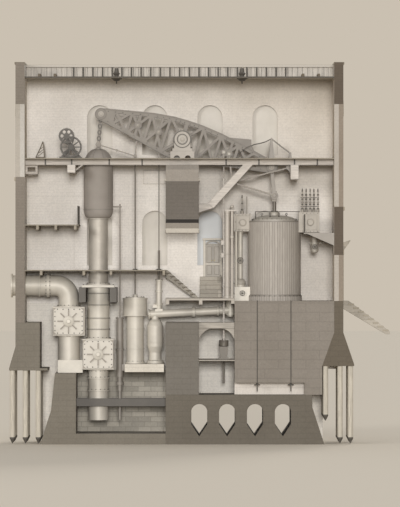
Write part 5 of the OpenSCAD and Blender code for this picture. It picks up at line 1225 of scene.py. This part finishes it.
def spindle_dressing():
    """Nuts, guides and finials on the valve spindles over the two chests."""
    parts = []
    for number in range(5):
        x = 6.593 + 0.215 * number
        y = (number % 2) * 0.3 - 0.15
        for z, radius in ((12.86, 0.06), (13.1, 0.055), (13.38, 0.05), (13.62, 0.055)):
            parts.append(spindle_nut(radius, (x, y, z)))
        parts.append(finial((x, y, 13.84), 0.17))
        parts.append(rod((x - 0.07, y, 13.24), (x + 0.07, y, 13.24), 0.016))
    for z in (13.02, 13.5):
        for y in (-0.15, 0.15):
            parts.append(rod((6.5, y, z), (7.52, y, z), 0.014))
    top_x = 3.284
    for y in (-0.3, 0.0, 0.3):
        for z, radius in ((12.8, 0.06), (13.15, 0.05)):
            parts.append(spindle_nut(radius, (top_x, y, z)))
        parts.append(finial((top_x, y, 13.5), 0.16))
    parts.append(rod((top_x, -0.42, 13.3), (top_x, 0.42, 13.3), 0.022))
    done(joined(parts), "valve_spindle_fittings", dark_iron)


def gear_rings():
    """Collars on the two tall columns and on the slender ones of the valve gear."""
    parts = []
    for y in (-1.0, 1.0):
        for z in (8.1, 8.6, 10.4, 12.5):
            parts.append(band(0.136, 0.165, 0.05, (COLUMN_X, y, z), sides=24))
        for z in (8.1, 9.6, 10.4):
            parts.append(band(0.076, 0.1, 0.04, (SLENDER_X, y, z), sides=20))
    done(joined(parts), "gear_column_collars", cover_iron)


# The beam and what hangs on it. Its lines run along the beam, from the gudgeon, and across it.

TOP_LINE = [(-4.6, 0.31), (-3.3, 0.6), (-1.9, 0.89), (-0.8, 1.03), (0.0, 1.05), (0.8, 1.03), (2.0, 0.91),
            (3.6, 0.61), (5.05, 0.31)]
# The low rib leaves a gap where the plug link and the back links hang.
LOW_EAST_LINE = [(5.05, -0.31), (3.2, -0.61), (3.12, -0.625)]
LOW_WEST_LINE = [(1.95, -0.865), (1.4, -0.96), (0.6, -1.12), (0.0, -1.14), (-0.6, -1.12), (-1.4, -0.96),
                 (-3.0, -0.61), (-4.6, -0.31)]


def on_beam(along, up, y):
    """A point of the beam at rest, from its place along and across the beam."""
    cos, sin = math.cos(TILT), math.sin(TILT)
    return (along * cos + up * sin, y, GUDGEON_Z - along * sin + up * cos)


def beam_ribs(line):
    """The rib along a line of the beam's near flitch."""
    near_y, far_y, width = -0.425, -0.395, 0.06
    ribs = []
    for start, end in zip(line, line[1:]):
        (low_x, _, low_z), (high_x, _, high_z) = on_beam(*start, 0.0), on_beam(*end, 0.0)
        ribs.append(plank((low_x, low_z), (high_x, high_z), near_y, far_y, width))
    return ribs


def nuts_beside(line, shares, lift):
    """Places of the nuts beside a rib, at each share of each of its lengths."""
    seat_y = -0.4
    places = []
    for start, end in zip(line, line[1:]):
        for share in shares:
            along = start[0] + (end[0] - start[0]) * share
            up = start[1] + (end[1] - start[1]) * share + lift
            places.append(facing(on_beam(along, up, seat_y), FRONT))
    return places


def beam_dressing():
    """Ribs, bosses, pin caps, nuts and spacers of the beam's two flitches."""
    parts = beam_ribs(TOP_LINE) + beam_ribs(LOW_EAST_LINE) + beam_ribs(LOW_WEST_LINE)
    for along, radius in ((0.0, 0.5), (-PUMP_ARM, 0.3), (STEAM_ARM, 0.3), (-AIR_ARM, 0.2), (-FEED_ARM, 0.17)):
        boss = [(radius, 0.0), (radius, 0.02), (radius * 0.9, 0.03)]
        parts.append(turned(boss, on_beam(along, 0.0, -0.398), FRONT, 32))
    done(both_sides(joined(parts)), "beam_ribs_and_bosses", beam_iron, "beam")
    caps = []
    for along, radius, reach in ((-PUMP_ARM, 0.13, 0.46), (STEAM_ARM, 0.13, 0.46), (-AIR_ARM, 0.07, 0.44),
                                 (-FEED_ARM, 0.07, 0.44)):
        cap = [(radius * 1.25, 0.0), (radius * 1.25, 0.02), (radius * 0.6, 0.03), (radius * 0.6, 0.05),
               (radius * 0.3, 0.055)]
        caps.append(turned(cap, on_beam(along, 0.0, -reach + 0.002), FRONT))
    caps.append(turned([(0.15, 0.0), (0.15, 0.02), (0.05, 0.04)], on_beam(0.0, 0.0, -0.858), FRONT, 28))
    done(both_sides(joined(caps)), "beam_pin_caps", pedestal_iron, "beam")
    bolts = nuts_beside(TOP_LINE, (0.2, 0.5, 0.8), -0.11)
    for line in (LOW_EAST_LINE[:2], LOW_WEST_LINE):
        bolts += nuts_beside(line, (0.25, 0.75), 0.11)
    done(both_sides(spread(nut(0.028), bolts)), "beam_bolts", dark_iron, "beam")
    collar = [(0.075, 0.0), (0.075, 0.03), (0.05, 0.04)]
    ties = []
    for along, up in ((0.0, 0.7), (0.0, -0.75), (-3.05, 0.3), (3.4, 0.2), (-1.95, 0.45), (1.0, 0.6),
                      (-1.95, -0.45), (1.0, -0.6)):
        ties.append(rod(on_beam(along, up, -0.262), on_beam(along, up, 0.262), 0.05, 12))
        for side in (-1.0, 1.0):
            ties.append(turned(collar, on_beam(along, up, side * 0.232), (0.0, side, 0.0), 14))
    done(joined(ties), "beam_spacers", beam_iron, "beam")


def link_dressing():
    """The oval braces that make the pump link look like a chain."""
    foot, head = Vector((MAIN_X, 0.0, 16.42)), Vector((-4.469, 0.0, 18.089))
    parts = []
    for number in range(4):
        place = foot + (head - foot) * (0.2 + 0.2 * number)
        loop = band(0.055, 0.11, 0.03, (0.0, 0.0, 0.012), sides=24)
        edit(loop)
        bpy.ops.transform.resize(value=(1.0, 1.35, 1.0), center_override=(0.0, 0.0, 0.0))
        parts.append(move(settle(loop), facing((place.x, -0.18, place.z), FRONT)))
    done(both_sides(joined(parts)), "pump_link_braces", dark_iron, "pump_link")


def case_dressing():
    """The rims, rivets and collars of the weight case."""
    seams = [band(0.8, 0.816, 0.05, (MAIN_X, 0.0, z), sides=64) for z in CASE_RIM_ZS]
    done(joined(seams), "weight_case_rims", case_iron, "plunger", smooth=True)
    round_rim = [(0.814, 2.0 * math.pi * number / 36.0, z) for z in CASE_RIM_ZS for number in range(36)]
    up_sides = [(0.802, math.pi / 4.0 + math.pi / 2.0 * number, 13.02 + 0.15 * step)
                for number in range(4) for step in range(14)]
    bolts = []
    for radius, turn, z in round_rim + up_sides:
        x, y = round_point(radius, turn)
        bolts.append(facing((MAIN_X + x, y, z), (*round_point(1.0, turn), 0.0)))
    done(spread(rivet(0.016), bolts), "weight_case_rivets", dark_iron, "plunger")
    collars = [
        band(0.515, 0.57, 0.08, (MAIN_X, 0.0, 12.34)),
        turned([(0.17, 0.0), (0.17, 0.03), (0.13, 0.06)], (MAIN_X, 0.0, 16.17)),
    ]
    done(joined(collars), "weight_case_collars", cover_iron, "plunger", smooth=True)


def case_seams():
    """Round seams over the dome of the weight case, from its shoulder nearly to its top."""
    shoulder_z, rise, radius = 15.229, 0.971, 0.804
    count, steps = 8, 9
    parts = []
    for number in range(count):
        turn = 2.0 * math.pi * (number + 0.5) / count
        points = []
        for step in range(steps - 1):
            share = step / steps
            x, y = round_point(radius * (1.0 - share * share) + 0.004, turn)
            points.append((MAIN_X + x, y, shoulder_z + rise * math.sin(math.pi / 2.0 * share)))
        parts += bent_rod(points, 0.018, 6)
    done(joined(parts), "weight_case_seams", case_iron, "plunger")


def bearing_dressing():
    """Rings, nuts, feet and oil cups of the two gudgeon bearings."""
    rings = [band(0.25, 0.3, 0.03, (0.0, -0.806, GUDGEON_Z), BACK, 40),
             band(0.43, 0.48, 0.02, (0.0, -0.804, GUDGEON_Z), BACK, 48)]
    done(both_sides(joined(rings)), "bearing_rings", dark_iron)
    bolts = [facing((x, y, 16.203)) for x in (-0.5, 0.5) for y in (-0.72, -0.57)]
    done(both_sides(spread(nut(0.05), bolts)), "bearing_nuts", dark_iron)
    parts = [block((x - 0.06, -0.86, 15.036), (x + 0.06, -0.82, 15.13), 0.008) for x in (-0.58, -0.02, 0.54)]
    parts.append(turned([(0.09, 0.0), (0.1, 0.03), (0.07, 0.08), (0.03, 0.1)],
                        (0.0, -0.645, GUDGEON_Z + 0.488), sides=16))
    done(both_sides(joined(parts)), "bearing_oil_cups", cover_iron)


def winch_teeth():
    """The teeth of the winch's wheel and pinion."""
    parts = []
    for x, z, radius, count, y in ((-6.1, 16.262, 0.58, 48, WINCH_Y), (-6.345, 16.87, 0.415, 34, PINION_Y)):
        tooth = block((-0.016, -0.04, 0.0), (0.016, 0.04, 0.035), 0.006)
        places = []
        for number in range(count):
            turn = Matrix.Rotation(2.0 * math.pi * number / count, 4, "Y")
            places.append(at(x, y, z) @ turn @ at(0.0, 0.0, radius - 0.005))
        parts.append(spread(tooth, places))
    done(joined(parts), "winch_teeth", dark_iron)


hang_windows()
brick_arches()
wall_door()
house_trim()
lever_wall_trim()
holding_down_bolts()
roof_trim()
ceiling_roses()
pump_fasteners()
chest_dressing("suction_door", MAIN_X, 4.8985, 1.7, 1.619)
chest_dressing("delivery_door", DELIVERY_X, 6.7135, 1.711, 1.527)
cylinder_dressing()
gear_dressing()
chest_nuts()
small_pump_dressing()
beam_dressing()
link_dressing()
case_dressing()
stays()
timber_dressing()
stair_treads()
spindle_dressing()
floor_fittings()
wall_relief()
loft_screen()
bearing_dressing()
gear_rings()
eduction_dressing()
entrance_dressing()
case_seams()
winch_teeth()
pile_shoes()


# Floor, backdrop, light and camera.

def lay_floor():
    """A matt floor under everything, far wider than the view."""
    bpy.ops.object.select_all(action="DESELECT")
    bpy.ops.mesh.primitive_plane_add(size=900.0, location=(0.0, 0.0, 0.0))
    floor = bpy.context.object
    floor.name = "studio_floor"
    made, _, shader = new_material("studio_floor")
    shader.inputs["Base Color"].default_value = ink(226, 216, 199)
    shader.inputs["Roughness"].default_value = 1.0
    shader.inputs["Specular IOR Level"].default_value = 0.0
    floor.data.materials.append(made)


def hang_backdrop():
    """Even light from all round, before a backdrop the colour of the paper."""
    world = bpy.data.worlds.new("studio_light")
    bpy.context.scene.world = world
    world.use_nodes = True
    tree = world.node_tree
    tree.nodes.clear()
    light = put(tree, "ShaderNodeBackground", {"Color": (0.98, 0.98, 1.0, 1.0), "Strength": 0.5})
    paper = put(tree, "ShaderNodeBackground", {"Color": ink(202, 192, 177), "Strength": 1.0})
    path = put(tree, "ShaderNodeLightPath")
    seen = maths(tree, "MAXIMUM", path.outputs["Is Camera Ray"], path.outputs["Is Glossy Ray"])
    seen = maths(tree, "MAXIMUM", seen, path.outputs["Is Transmission Ray"])
    mix = put(tree, "ShaderNodeMixShader", {0: seen, 1: light.outputs[0], 2: paper.outputs[0]})
    put(tree, "ShaderNodeOutputWorld", {0: mix.outputs[0]})


def hang_lamps():
    """Three soft suns: each has where it stands, its power and how soft it is, in degrees."""
    lamps = (
        ("key_light", (-0.8, -1.0, 0.3), 0.8, 14.0),
        ("front_light", (0.02, -1.0, 0.1), 1.75, 10.0),
        ("rear_light", (0.35, 1.0, 0.5), 1.0, 20.0),
    )
    for name, towards, power, softness in lamps:
        lamp = bpy.data.lights.new(name, "SUN")
        lamp.energy = power
        lamp.angle = math.radians(softness)
        made = bpy.data.objects.new(name, lamp)
        bpy.context.collection.objects.link(made)
        made.rotation_euler = Vector(towards).to_track_quat("Z", "Y").to_euler()


def set_camera():
    """A long lens before the open face, so far off that the picture is 22 m wide."""
    focal, sensor, shape = 400.0, 36.0, 400.0 / 507.0
    wide = 22.0
    lens = bpy.data.cameras.new("camera")
    lens.lens = focal
    lens.sensor_width = sensor
    lens.clip_end = 2000.0
    camera = bpy.data.objects.new("camera", lens)
    bpy.context.collection.objects.link(camera)
    away = wide / (sensor * shape) * focal
    camera.location = (0.97, -away, 10.43)
    camera.rotation_euler = (math.radians(90.0), 0.0, 0.0)
    bpy.context.scene.camera = camera


lay_floor()
hang_backdrop()
hang_lamps()
set_camera()
bpy.context.scene.view_settings.view_transform = "Standard"
